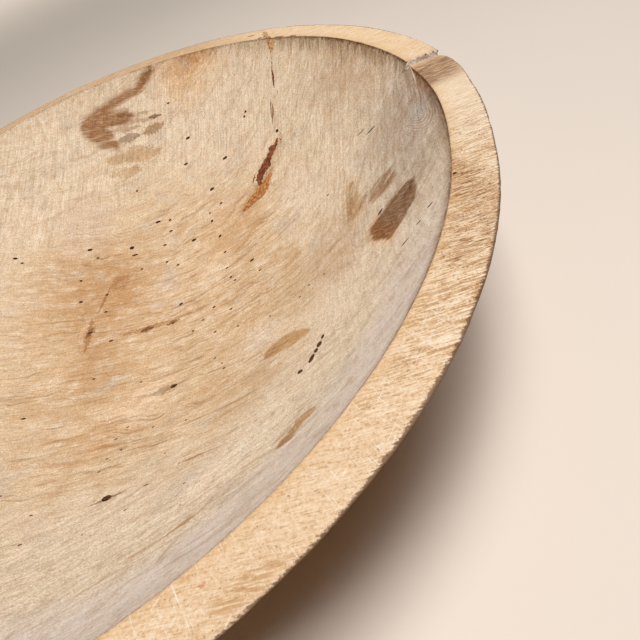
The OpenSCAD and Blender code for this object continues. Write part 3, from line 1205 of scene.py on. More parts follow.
    def _lip_gap_shade_and_highlight(self, colour: Signal) -> Signal:
        """Paint shadow in the gap that opened under the sprung lip, and paint a highlight on the edge of the
        wood below it.

        Args:
            colour: Colour of the hollow.

        Returns:
            The colour with the gap.
        """
        away = self.angle * -1.0 + (self.speck - 0.5) * 1.2
        foot = away * 0.9
        deep = foot.least((13.5 - away) * 0.55)
        past = away.rise(0.05, 0.5)
        # Painted shadow in the gap under the lip.
        gap = (self.below - deep + (self.drips - 0.5) * 9.0).rise(1.4, -0.8) * past * away.rise(13.0, 8.0)
        colour = self._wash(gap * 0.92, colour, Wash.LIP_GAP)
        # Painted highlight on the lit edge of the wood below the gap.
        edge = abs(self.below - foot).rise(0.5, 0.1) * past * away.rise(5.6, 2.0)
        return self._tint(edge * 0.6, colour, Tint.LIP_EDGE)

    def _edges(self, colour: Signal) -> Signal:
        """Darken the brink of the hollow, the arris, and a line along the outer edge that is partly wear and
        partly painted shade of the rounded edge.
        """
        edge_gap, arris = self.bench.attribute("edge_gap"), self.bench.attribute("arris_share")
        spread = self.angle.rise(0.0, 20.0) * 0.8 + self._on(Stretch.DARK_EDGE) * 0.45
        # Dark line along the outer edge: partly wear, partly painted shade of the rounded edge.
        worn = (edge_gap - spread + (self.saw - 0.5) * 2.0 + (self.speck - 0.5) * 1.8).rise(0.7, 0.0)
        colour = self._tint(worn * 0.8, colour, Tint.WORN_EDGE)
        brink = (self.rim * (1.0 - self.rim) * 4.0 + (self.speck - 0.5) * 1.6).rise(0.2, 0.8) * self.inner
        colour = self._tint(brink * 0.7, colour, Tint.BRINK)
        return self._tint(arris * (self.saw * 0.6 + 0.4), colour, Tint.ARRIS)

    def dress(self) -> bpy.types.Material:
        """Build the whole material.

        Returns:
            The finished material.
        """
        bench, rim, speck = self.bench, self.rim, self.speck
        # Painted shade under the rim and in the lip's gap, and a painted highlight below the gap, go over the
        # hollow's colour.
        colour = self._lip_gap_shade_and_highlight(self._rim_drips_and_shade(self._hollow_colour()))
        skin = bench.ramp(self.ring_fine * 0.5 + speck * 0.5, WoodRamp.OUTSIDE.stops)
        colour = bench.mix(bench.attribute("outside_share"), colour, skin)
        colour = self._edges(bench.mix(rim, colour, self._rim_colour()))
        relief = (self.fine * 0.35 + speck * 0.65) * (1.0 - rim) + (self.saw * 0.5 + speck * 0.5) * rim
        return bench.finish(colour, speck * 0.2 + 0.58, relief, bump_mm=0.3, gloss=0.22)


@dataclass(frozen=True)
class PlainFinish:
    """Dull finish of one filler: two colours mottled together, with a small relief."""

    name: str
    light: tuple[int, int, int]
    dark: tuple[int, int, int]
    grain_mm: float
    rough: float
    gloss: float

    def dress(self) -> bpy.types.Material:
        """Build the material.

        Returns:
            The finished material.
        """
        bench = Bench(f"{self.name}_finish")
        place = bench.place()
        mottle = bench.noise(place, 1 / self.grain_mm, 4.0, 0.6)
        colour = bench.ramp(mottle, ((0.4, srgb(*self.dark)), (0.6, srgb(*self.light))))
        return bench.finish(colour, mottle * 0.2 + (self.rough - 0.1), mottle, bump_mm=0.25, gloss=self.gloss)


class FillerFinish(Enum):
    """Finishes of the old fillers and of the insect holes."""

    GREY = PlainFinish("grey_filler", (234, 214, 194), (172, 150, 130), 1.2, 0.7, 0.25)
    ORANGE = PlainFinish("orange_filler", (224, 178, 128), (150, 102, 62), 1.8, 0.7, 0.2)
    BROWN = PlainFinish("brown_filler", (150, 86, 54), (92, 46, 28), 2.2, 0.6, 0.25)
    AMBER = PlainFinish("amber_filler", (212, 148, 86), (142, 86, 42), 2.2, 0.6, 0.25)
    # Dark lining of the insect holes, partly painted shade: the holes are cut shallow, and the lining stands
    # in for the shade deep inside them.
    BURROW = PlainFinish("insect_hole", (112, 78, 54), (58, 39, 28), 0.8, 0.9, 0.1)

    @functools.cache
    def material(self) -> bpy.types.Material:
        """Material of the finish, made on first use."""
        return self.value.dress()


class Zone(Enum):
    """Stretches of the bowl's section, in the order in which the profile runs."""

    HOLLOW = 0
    INNER_EDGE = 1
    RIM = 2
    OUTER_EDGE = 3
    OUTSIDE = 4
    FOOT = 5


@dataclass(frozen=True)
class SectionPoint:
    """Point of the bowl's section: radius, height, stretch, and distance below the rim along the wall."""

    r: float
    z: float
    zone: Zone
    below: float = 0.0


@dataclass
class TurnedBowl:
    """The turned bowl: a spun section, a sprung lip beside the crack, worn edges and insect holes."""

    sizes: BowlSizes = SIZES
    steps: int = 720
    hollow_rows: int = 54
    rim_rows: int = 8
    outside_rows: int = 24
    edge_rows: int = 6
    lip_angle: float = 26.0
    squeeze: float = 0.06
    lip_fade: float = 9.0
    lip_fade_more: float = 14.0
    drop_power: float = 1.4
    arris_round: float = 0.8
    lean_depth: float = 60.0
    outside_fade: float = 46.0
    lip_bulge: float = 2.0
    bulge_angle: float = 4.2
    bulge_width: float = 4.6
    notch: float = 3.0
    notch_angle: float = 0.9
    crack_slant: float = -0.041
    slant_angle: float = 7.0
    slant_depth: float = 30.0
    hollow_crowding: float = 0.4
    outside_crowding: float = 1.5
    foot_shares: tuple[float, ...] = (0.97, 0.75, 0.5, 0.25, 0.0)
    weld: float = 0.002
    axis_reach: float = 0.5
    chunk: int = 4096
    rim_waves: tuple[Ripple, ...] = (Ripple(0.35, 55.0, 3.1), Ripple(0.12, 7.0, 5.7))
    edge_waves: tuple[Ripple, ...] = (Ripple(0.25, 16.0, 8.3), Ripple(0.15, 4.0, 1.9))
    mouth_dents: Ripple = Ripple(0.3, 6.0, 4.4)
    mouth_waves: Ripple = Ripple(0.2, 23.0, 6.6)
    wall_waves: Ripple = Ripple(0.3, 48.0, 9.2)
    chip_waves: Ripple = Ripple(1.0, 15.0, 12.4)
    chip_level: float = 0.36
    chip_most: float = 0.3
    chip_gain: float = 2.0
    chip_stretch: tuple[float, float, float] = (1.0, 1.0, 0.3)
    seam_reach: float = 0.3
    seam_angle: float = 0.001
    axis_turn: float = 90.0
    mouth_fade: tuple[float, float] = (-1.4, -0.5)
    edge_fade: tuple[float, float] = (0.5, 1.0)
    arris_fade: tuple[float, float] = (0.2, 0.8)
    dark_fade: tuple[float, float] = (0.5, 8.0)
    inner_band: float = 5.0
    smooth_angle: float = 38.0

    def section(self) -> list[SectionPoint]:
        """Points of the section from the middle of the floor over the rim to the middle of the foot.

        Returns:
            The points in order.
        """
        s = self.sizes
        mouth_z = s.bowl_h - s.inner_round
        mouth_x = math.sqrt((s.cavity_r + s.inner_round) ** 2 - (s.cavity_z - mouth_z) ** 2)
        top = math.atan2(mouth_x, s.cavity_z - mouth_z)
        points = []
        for i in range(self.hollow_rows + 1):
            share = i / self.hollow_rows
            angle = top * ((1.0 + self.hollow_crowding) * share - self.hollow_crowding * share ** 2)
            r, z = s.cavity_r * math.sin(angle), s.cavity_z - s.cavity_r * math.cos(angle)
            points.append(SectionPoint(r, z, Zone.HOLLOW, s.cavity_r * (top - angle)))
        start = math.pi / 2 + top
        for i in range(1, self.edge_rows + 1):
            angle = start + (math.pi / 2 - start) * i / self.edge_rows
            r, z = mouth_x + s.inner_round * math.cos(angle), mouth_z + s.inner_round * math.sin(angle)
            points.append(SectionPoint(r, z, Zone.INNER_EDGE))
        for i in range(1, self.rim_rows + 1):
            r = mouth_x + (s.rim_r - self.arris_round - mouth_x) * i / self.rim_rows
            points.append(SectionPoint(r, s.bowl_h, Zone.RIM))
        for i in range(1, self.edge_rows + 1):
            angle = math.pi / 2 * (1 - i / self.edge_rows)
            r = s.rim_r - self.arris_round * (1 - math.cos(angle))
            z = s.bowl_h - self.arris_round * (1 - math.sin(angle))
            points.append(SectionPoint(r, z, Zone.OUTER_EDGE))
        start = math.asin((s.bowl_h - self.arris_round - s.outside_z) / s.outside_r)
        over = s.outside_r * math.cos(start) - s.rim_r
        foot = math.atan2(-s.outside_z, s.foot_d / 2)
        for i in range(1, self.outside_rows + 1):
            share = i / self.outside_rows
            angle = start + (foot - start) * share ** self.outside_crowding
            held = float(1.0 - smoothstep(0.0, self.lean_depth, np.array(s.outside_r * (start - angle))))
            r, z = s.outside_r * math.cos(angle) - over * held, s.outside_z + s.outside_r * math.sin(angle)
            points.append(SectionPoint(r, z, Zone.OUTSIDE))
        for share in self.foot_shares:
            points.append(SectionPoint(s.foot_d / 2 * share, 0.0, Zone.FOOT))
        return points

    def spin(self, points: Sequence[SectionPoint]) -> bpy.types.Object:
        """Draw the section as a chain of edges and spin it round the turning axis.

        Args:
            points: The section.

        Returns:
            The spun bowl as one closed mesh.
        """
        az = math.radians(self.sizes.crack_az)
        spots = [Vector((p.r * math.cos(az), p.r * math.sin(az), p.z)) * MM for p in points]
        bpy.ops.object.select_all(action="DESELECT")
        bpy.ops.mesh.primitive_plane_add(size=MM, location=spots[0])
        bowl = bpy.context.object
        bowl.name = bowl.data.name = "dough_bowl"
        bpy.ops.object.transform_apply(location=True, rotation=True, scale=True)
        bpy.ops.object.mode_set(mode="EDIT")
        bpy.ops.mesh.select_all(action="SELECT")
        bpy.ops.mesh.merge(type="CENTER")
        for first, second in zip(spots, spots[1:]):
            bpy.ops.mesh.extrude_region_move(TRANSFORM_OT_translate={"value": second - first})
        bpy.ops.mesh.select_all(action="SELECT")
        bpy.ops.mesh.spin(steps=self.steps, angle=2 * math.pi, center=(0, 0, 0), axis=(0, 0, 1))
        bpy.ops.mesh.select_all(action="SELECT")
        bpy.ops.mesh.remove_doubles(threshold=self.weld * MM)
        bpy.ops.mesh.normals_make_consistent(inside=False)
        bpy.ops.object.mode_set(mode="OBJECT")
        return bowl

    def wear(self, bowl: bpy.types.Object, points: Sequence[SectionPoint]) -> None:
        """Spring the lip beside the crack, wear and chip the edges, and write the shares the wood reads.

        Args:
            bowl: The spun bowl.
            points: Its section.
        """
        mesh = bowl.data
        co = np.zeros(len(mesh.vertices) * 3)
        mesh.vertices.foreach_get("co", co)
        co = co.reshape(-1, 3) / MM
        row = self._rows(co, points)
        zone = np.array([p.zone.value for p in points])[row]
        below = np.array([p.below for p in points])[row]
        co, turn = self._spring(co, zone, below)
        self._chip(co, zone, row, points, turn)
        mesh.vertices.foreach_set("co", (co * MM).ravel())
        mesh.update()
        self._write_shares(mesh, zone, row, below, points)

    def _rows(self, co: np.ndarray, points: Sequence[SectionPoint]) -> np.ndarray:
        """Find the section point that each point of the mesh was spun from.

        Args:
            co: Points of the bowl in millimetres.
            points: The section.

        Returns:
            Numbers of section points.
        """
        table = np.array([(p.r, p.z) for p in points])
        flat = np.stack([np.hypot(co[:, 0], co[:, 1]), co[:, 2]], 1)
        parts = (flat[i:i + self.chunk, None] for i in range(0, len(flat), self.chunk))
        return np.concatenate([((part - table) ** 2).sum(2).argmin(1) for part in parts])

    def _spring(self, co: np.ndarray, zone: np.ndarray, below: np.ndarray) -> tuple[np.ndarray, np.ndarray]:
        """Open the crack, drop and spring the lip beside it, and move the rim out of round.

        Args:
            co: Points of the spun bowl in millimetres.
            zone: Stretch of each point.
            below: Distance of each point below the rim along the hollow's wall.

        Returns:
            The moved points, and the azimuth of each in radians.
        """
        s = self.sizes
        r = np.hypot(co[:, 0], co[:, 1])
        az = np.degrees(np.arctan2(co[:, 1], co[:, 0])) - s.crack_az
        az = (az + 180.0) % 360.0 - 180.0
        az[r < self.axis_reach] = self.axis_turn
        step = 360.0 / self.steps
        az[np.abs(az + step) < self.seam_reach * step] = -self.squeeze
        az[np.abs(az) < self.seam_angle] = 0.0
        hollow, outside = zone == Zone.HOLLOW.value, zone >= Zone.OUTSIDE.value
        depth = np.where(hollow, below, np.where(outside, s.bowl_h - co[:, 2], 0.0))
        slant = (np.minimum(r, s.rim_r) - (s.rim_r - s.rim_w / 2)) * self.crack_slant
        az_new = az + slant * np.exp(-(az / self.slant_angle) ** 2) * np.exp(-depth / self.slant_depth)
        sprung = az < 0.0
        lip = smoothstep(-self.lip_angle, 0.0, az) * sprung
        in_fade = 1.0 - smoothstep(0.0, self.lip_fade + self.lip_fade_more * (1.0 - lip), below)
        out_fade = 1.0 - smoothstep(0.0, self.outside_fade, depth)
        fade = np.where(hollow, in_fade, np.where(outside, out_fade, 1.0))
        across = np.clip((r - s.mouth_r) / s.rim_w, 0.0, 1.0)
        across = np.where(hollow, 0.0, np.where(zone >= Zone.OUTER_EDGE.value, 1.0, across))
        bulge = self.lip_bulge * np.exp(-((az + self.bulge_angle) / self.bulge_width) ** 2) * sprung
        bulge -= self.notch * np.exp(-(az / self.notch_angle) ** 2) * across ** 3 * sprung
        r_new = r + (s.lip_spring * lip + bulge * across) * fade + WARP.shift(az, across, depth)
        z_new = co[:, 2] - s.lip_drop * lip ** self.drop_power * fade
        turn = np.radians(az_new + s.crack_az)
        return np.stack([r_new * np.cos(turn), r_new * np.sin(turn), z_new], 1), turn

    def _chip(self, co: np.ndarray, zone: np.ndarray, row: np.ndarray, points: Sequence[SectionPoint],
              turn: np.ndarray) -> None:
        """Make the rim uneven, and the outer edge worn and chipped.

        Args:
            co: Points of the bowl in millimetres, moved in place.
            zone: Stretch of each point.
            row: Section row of each point.
            points: The section.
            turn: Azimuth of each point in radians.
        """
        outward = np.stack([np.cos(turn), np.sin(turn), np.zeros_like(turn)], 1)
        top = (zone == Zone.RIM.value) | (zone == Zone.OUTER_EDGE.value) | (zone == Zone.INNER_EDGE.value)
        spots = np.nonzero(top)[0]
        co[spots, 2] += sum(waves.at(co[spots]) for waves in self.rim_waves)
        edge = np.nonzero(zone == Zone.OUTER_EDGE.value)[0]
        worn = sum(waves.at(co[edge]) for waves in self.edge_waves)
        chips = self.chip_waves.at(co[edge] * self.chip_stretch) - self.chip_level
        chips = np.clip(chips, 0.0, self.chip_most) * self.chip_gain
        reach = self.sizes.rim_r - self.arris_round
        share = np.array([max(0.0, (p.r - reach) / self.arris_round) for p in points])[row[edge]]
        co[edge] -= outward[edge] * ((worn + chips) * share)[:, None]
        lip = np.nonzero(zone == Zone.INNER_EDGE.value)[0]
        dents = np.maximum(0.0, self.mouth_dents.at(co[lip])) + self.mouth_waves.at(co[lip])
        co[lip] += outward[lip] * dents[:, None]
        wall = np.nonzero((zone == Zone.HOLLOW.value) | (zone == Zone.OUTSIDE.value))[0]
        co[wall] += outward[wall] * self.wall_waves.at(co[wall])[:, None]

    def _write_shares(self, mesh: bpy.types.Mesh, zone: np.ndarray, row: np.ndarray, below: np.ndarray,
                      points: Sequence[SectionPoint]) -> None:
        """Write what the wood's finish reads from the mesh.

        Args:
            mesh: Mesh of the bowl.
            zone: Stretch of each point.
            row: Section row of each point.
            below: Distance of each point below the rim along the hollow's wall.
            points: The section.
        """
        s = self.sizes
        heights = np.array([p.z for p in points])[row]
        radii = np.array([p.r for p in points])[row]
        rim = np.where(zone == Zone.RIM.value, 1.0, 0.0)
        rim = np.where(zone == Zone.INNER_EDGE.value, smoothstep(*self.mouth_fade, heights - s.bowl_h), rim)
        drop = s.bowl_h - heights
        rim = np.where(zone == Zone.OUTER_EDGE.value, 1.0 - smoothstep(*self.edge_fade, drop), rim)
        arris = np.where(zone == Zone.OUTER_EDGE.value, smoothstep(*self.arris_fade, drop), 0.0)
        arris = np.where(zone == Zone.OUTSIDE.value, 1.0 - smoothstep(*self.dark_fade, drop), arris)
        outside = np.where(zone >= Zone.OUTSIDE.value, 1.0, 0.0)
        outside = np.where(zone == Zone.OUTER_EDGE.value, 1.0 - rim, outside)
        band = smoothstep(s.mouth_r + self.inner_band, s.mouth_r, radii)
        inner = np.where(zone == Zone.RIM.value, band, 0.0)
        inner = np.where(zone == Zone.INNER_EDGE.value, 1.0, inner)
        shares = {"rim_share": rim, "arris_share": arris, "outside_share": outside, "inner_edge_share": inner,
                  "below_rim": np.where(zone == Zone.HOLLOW.value, below, 0.0),
                  "edge_gap": np.where(zone == Zone.HOLLOW.value, s.rim_w, np.maximum(0.0, s.rim_r - radii))}
        for name, values in shares.items():
            layer = mesh.attributes.new(name, "FLOAT", "POINT")
            layer.data.foreach_set("value", values.astype(np.float32))

    def build(self) -> bpy.types.Object:
        """Make the bowl, dress it and cut its insect holes.

        Returns:
            The bowl.
        """
        points = self.section()
        bowl = self.spin(points)
        self.wear(bowl, points)
        bowl.data.materials.append(BowlWood(LOG_LINE).dress())
        bowl.data.materials.append(FillerFinish.BURROW.material())
        InsectHoles(HOLES + unseen_holes()).cut(bowl)
        bpy.ops.object.select_all(action="DESELECT")
        bowl.select_set(True)
        bpy.context.view_layer.objects.active = bowl
        bpy.ops.object.shade_smooth_by_angle(angle=math.radians(self.smooth_angle))
        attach(bowl, "root")
        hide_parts("bowl_body")
        return bowl


@dataclass(frozen=True)
class Hole:
    """Insect hole or fibre check: pixel, length and width in pixels, and its slope, if not the grain's."""

    x: float
    y: float
    length: float
    width: float
    slope: Optional[float] = None
    on_rim: bool = False


@dataclass
class InsectHoles:
    """Small holes that insects and checks left in the wall, cut into the bowl."""

    holes: tuple[Hole, ...]
    grain: Vector = field(default_factory=lambda: LOG_LINE.fibres)

    def _axes(self, hole: Hole) -> tuple[Vector, Vector, Vector, Vector]:
        """Place of a hole on the wall and its three axes.

        Args:
            hole: The hole.

        Returns:
            Place in millimetres, and half of the hole along it, across it and out of the wall.
        """
        spot = PHOTO.on_bowl((hole.x, hole.y), hole.on_rim)
        half = PHOTO.millimetres(spot) / 2
        if hole.slope is None:
            out = way_out(spot, hole.on_rim)
            along = (self.grain - out * self.grain.dot(out)).normalized()
            across = out.cross(along)
            return spot, along * hole.length * half, across * hole.width * half, out * hole.width * half
        slope = math.radians(hole.slope)
        step = Vector((math.cos(slope), -math.sin(slope))) / 2
        ahead = PHOTO.on_wall((hole.x + step.x * hole.length, hole.y + step.y * hole.length))
        aside = PHOTO.on_wall((hole.x - step.y * hole.width, hole.y + step.x * hole.width))
        turn, spread, _ = np.linalg.svd(np.array((ahead - spot, aside - spot)).T, full_matrices=False)
        along, across = Vector(turn[:, 0]), Vector(turn[:, 1])
        return spot, along * spread[0], across * spread[1], along.cross(across) * hole.width * half

    def cut(self, bowl: bpy.types.Object) -> None:
        """Cut all the holes out of the bowl.

        Args:
            bowl: The bowl, whose second material lines the holes.
        """
        tools = []
        for hole in self.holes:
            spot, along, across, out = self._axes(hole)
            bpy.ops.object.select_all(action="DESELECT")
            bpy.ops.mesh.primitive_ico_sphere_add(subdivisions=2, radius=1.0)
            tool = bpy.context.object
            shape = Matrix((along * MM, across * MM, out * MM)).transposed().to_4x4()
            tool.matrix_world = Matrix.Translation(spot * MM) @ shape
            tools.append(tool)
        bpy.ops.object.select_all(action="DESELECT")
        for tool in tools:
            tool.select_set(True)
        bpy.context.view_layer.objects.active = tools[0]
        bpy.ops.object.join()
        cutter = bpy.context.object
        bpy.ops.object.transform_apply(location=True, rotation=True, scale=True)
        bpy.ops.object.mode_set(mode="EDIT")
        bpy.ops.mesh.select_all(action="SELECT")
        bpy.ops.mesh.normals_make_consistent(inside=False)
        bpy.ops.object.mode_set(mode="OBJECT")
        cutter.data.materials.append(bowl.data.materials[1])
        bpy.ops.object.select_all(action="DESELECT")
        bowl.select_set(True)
        bpy.context.view_layer.objects.active = bowl
        saw = bowl.modifiers.new("insect_holes", "BOOLEAN")
        saw.operation = "DIFFERENCE"
        saw.solver = "EXACT"
        saw.material_mode = "TRANSFER"
        saw.object = cutter
        bpy.ops.object.modifier_apply(modifier=saw.name)
        bpy.data.objects.remove(cutter)


HOLES: tuple[Hole, ...] = tuple(Hole(*row) for row in (
    (245.5, 111.6, 3.0, 2.2), (244.2, 116.4, 2.6, 2.2), (168, 103, 3.4, 1.8), (188, 138, 5.0, 2.2),
    (225, 158, 6.0, 2.4), (186, 164, 4.6, 2.0), (212, 189, 5.6, 2.6), (221, 203, 3.5, 1.8),
    (210, 213, 2.4, 1.8), (212, 221, 3.2, 2.8), (137, 191, 2.4, 1.8), (158, 222, 5.6, 2.2),
    (170, 220, 3.0, 2.0), (171, 231, 4.0, 1.8), (194, 240, 6.0, 2.6), (220, 236, 3.2, 2.6),
    (165, 245, 4.0, 1.8), (132, 248, 5.0, 3.4), (135, 255, 6.4, 1.8), (90, 250, 5.0, 2.6),
    (98, 258, 3.0, 1.6), (167, 262, 3.0, 1.8), (178, 265, 3.4, 1.8), (142, 269, 3.0, 1.6),
    (252, 260, 5.4, 2.6), (260, 270, 3.4, 2.0), (227, 268, 3.0, 1.8), (225, 252, 3.0, 1.8),
    (231, 277, 3.6, 2.2), (235, 280, 3.0, 2.0), (81, 281, 3.0, 2.0), (107, 295, 3.4, 1.8),
    (81, 302, 4.0, 2.4), (106, 312, 3.6, 1.8), (181, 304, 4.4, 2.4), (214, 307, 4.0, 2.2),
    (231, 309, 3.6, 2.0), (203, 320, 3.4, 1.8), (193, 331, 3.4, 1.8), (111, 341, 4.4, 2.4),
    (90, 333, 5.0, 2.2), (173, 323, 3.4, 1.6), (215, 332, 3.6, 2.2), (238, 326, 3.2, 1.8),
    (215, 358, 3.0, 1.8), (224, 368, 3.4, 2.2), (222, 363, 2.4, 1.6), (186, 420, 3.6, 1.8),
    (165, 453, 3.4, 1.6), (116, 439, 4.0, 1.8), (121, 450, 3.4, 1.6), (107, 459, 3.4, 1.6),
    (99, 472, 3.4, 1.6), (128, 427, 3.4, 1.6), (153, 427, 3.0, 1.6), (179, 463, 3.0, 1.6),
    (141, 382, 3.4, 1.6), (94, 379, 3.6, 1.8), (300, 297, 3.2, 1.8), (309, 285, 3.2, 1.6),
    (270, 316, 3.2, 1.6), (324, 274, 3.2, 1.6), (146, 485, 7.0, 1.8), (184, 483, 3.2, 1.6),
    (125, 510, 3.4, 1.8), (82, 535, 2.6, 2.0), (180, 505, 3.0, 1.6), (328, 195, 3.0, 1.6),
    (380.3, 212, 9.0, 1.6, 57.0), (174, 386, 8.0, 4.8), (106.5, 498.3, 11.0, 4.8, 27.0),
    (322.5, 336.6, 5.0, 2.4, 60.0), (319.2, 344.2, 7.4, 3.4, 52.0), (315.9, 350.4, 5.4, 3.0, 50.0),
    (311.4, 358.4, 10.5, 3.4, 60.0), (300, 371.6, 6.6, 2.6, 40.0), (277, 130.8, 3.2, 3.0, 60.0),
    (360.5, 133, 12.0, 0.7, 48.0), (370, 131, 16.0, 0.8, 48.0), (430, 205, 8.0, 0.9, 48.0),
    (418.5, 222.5, 7.0, 0.9, 48.0), (405, 242, 12.0, 0.8, 52.0), (454.6, 173, 4.2, 3.0, None, True),
    (360.5, 43.6, 5.0, 3.4, None, True),
))


UNSEEN_RANGES: tuple[tuple[float, float], ...] = ((-240.0, 50.0), (230.0, 560.0), (2.6, 5.2), (1.5, 2.6))


def unseen_holes(count: int = 34, seed: int = 4) -> tuple[Hole, ...]:
    """Scatter holes over the part of the floor that the photograph leaves out.

    Args:
        count: Number of holes.
        seed: Seed of the scatter.

    Returns:
        The holes, placed by pixels left of the picture.
    """
    draw = random.Random(seed)
    return tuple(Hole(*(draw.uniform(*ends) for ends in UNSEEN_RANGES)) for _ in range(count))


Pair = tuple[float, float, float, float]


def streak(*points: tuple[float, float, float]) -> tuple[Pair, ...]:
    """Rows of a narrow strip along a line that runs down the picture.

    Args:
        points: Pixels down the line, each with the strip's width in pixels.

    Returns:
        Left and right pixels, row by row.
    """
    return tuple((x - width / 2, y, x + width / 2, y) for x, y, width in points)


@dataclass
class FillerStrip:
    """Old filler in the split: ragged strips between pairs of pixels, proud of the wood by a hair."""

    name: str
    node: str
    finish: FillerFinish
    on_wall: tuple[tuple[Pair, ...], ...]
    on_rim: tuple[tuple[Pair, ...], ...] = ()
    rows_between: int = 5
    crown: tuple[tuple[float, float], ...] = (
        (0.0, 0.0), (0.14, 0.75), (0.36, 1.0), (0.64, 1.0), (0.86, 0.75), (1.0, 0.0))
    ragged: float = 0.5
    narrow: float = 4.0
    jitter: float = 0.7
    bay_depth: float = 2.2
    bay_pace: float = 0.31
    bay_apart: float = 7.3
    smooth_angle: float = 50.0
    proud: float = 0.25
    sunk: float = 0.45
    depth: float = 1.6
    seed: int = 1

    @staticmethod
    def _cast(x: float, y: float, rim: bool) -> tuple[Vector, Vector]:
        """Place of a pixel on what carries the filler, and the way out of it."""
        spot = PHOTO.on_bowl((x, y), rim)
        return spot if rim else WARP.carry(spot), way_out(spot, rim)

    def _sheet(self, strip: Sequence[Pair], rim: bool, draw: random.Random) -> list[list[Vector]]:
        """Rows of points of one strip's face, in millimetres.

        Args:
            strip: Pairs of pixels, left and right, down the strip.
            rim: Whether the strip lies on the rim and not on the wall.
            draw: Source of the ragged edges.

        Returns:
            The rows, each from left to right.
        """
        rows = []
        total = (len(strip) - 1) * self.rows_between
        for k in range(total + 1):
            i, part = divmod(k, self.rows_between)
            first = strip[min(i, len(strip) - 1)]
            second = strip[min(i + 1, len(strip) - 1)]
            share = part / self.rows_between
            lx, ly, rx, ry = (a + (b - a) * share for a, b in zip(first, second))
            room = min(1.0, math.hypot(rx - lx, ry - ly) / self.narrow) * self.ragged
            left_bay = Vector((k * self.bay_pace, self.seed, 0.5 if rim else 0.0))
            right_bay = left_bay + Vector((0, self.bay_apart, 0))
            lx += (draw.uniform(-self.jitter, self.jitter) + self.bay_depth * noise.noise(left_bay)) * room
            rx += (draw.uniform(-self.jitter, self.jitter) + self.bay_depth * noise.noise(right_bay)) * room
            at_end = k in (0, total)
            row = []
            for place, height in self.crown:
                spot, out = self._cast(lx + (rx - lx) * place, ly + (ry - ly) * place, rim)
                lift = -self.sunk if at_end else -self.sunk + (self.proud + self.sunk) * height
                row.append(spot + out * lift)
            rows.append(row)
        return rows

    def build(self) -> bpy.types.Object:
        """Make the filler as a closed solid and dress it.

        Returns:
            The filler.
        """
        draw = random.Random(self.seed)
        parts = []
        for rim, strips in ((False, self.on_wall), (True, self.on_rim)):
            parts += [sheet_from_grid(self.name, self._sheet(strip, rim, draw)) for strip in strips]
        bpy.ops.object.select_all(action="DESELECT")
        for part in parts:
            part.select_set(True)
        bpy.context.view_layer.objects.active = parts[0]
        if len(parts) > 1:
            bpy.ops.object.join()
        filler = bpy.context.view_layer.objects.active
        filler.name = filler.data.name = self.name
        wall = filler.modifiers.new("thickness", "SOLIDIFY")
        wall.thickness = self.depth * MM
        wall.offset = -1.0
        bpy.ops.object.modifier_apply(modifier=wall.name)
        bpy.ops.object.shade_smooth_by_angle(angle=math.radians(self.smooth_angle))
        filler.data.materials.append(self.finish.material())
        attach(filler, "root")
        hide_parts(self.node)
        return filler


def sheet_from_grid(name: str, rows: Sequence[Sequence[Vector]]) -> bpy.types.Object:
    """Shape a grid into a sheet whose faces look towards the inside of the bowl.

    Args:
        name: Name of the piece.
        rows: Rows of places in millimetres, each as long as the next.

    Returns:
        The sheet.
    """
    across, down = len(rows[0]), len(rows)
    bpy.ops.object.select_all(action="DESELECT")
    bpy.ops.mesh.primitive_grid_add(x_subdivisions=across - 1, y_subdivisions=down - 1, size=2.0)
    sheet = bpy.context.object
    sheet.name = sheet.data.name = name
    for vertex in sheet.data.vertices:
        column = round((vertex.co.x + 1.0) / 2.0 * (across - 1))
        line = round((vertex.co.y + 1.0) / 2.0 * (down - 1))
        vertex.co = rows[line][column] * MM
    sheet.data.update()
    middle = sheet.data.polygons[len(sheet.data.polygons) // 2]
    if middle.normal.dot(Vector((0, 0, SIZES.cavity_z)) * MM - middle.center) < 0:
        bpy.ops.object.mode_set(mode="EDIT")
        bpy.ops.mesh.select_all(action="SELECT")
        bpy.ops.mesh.flip_normals()
        bpy.ops.object.mode_set(mode="OBJECT")
    return sheet


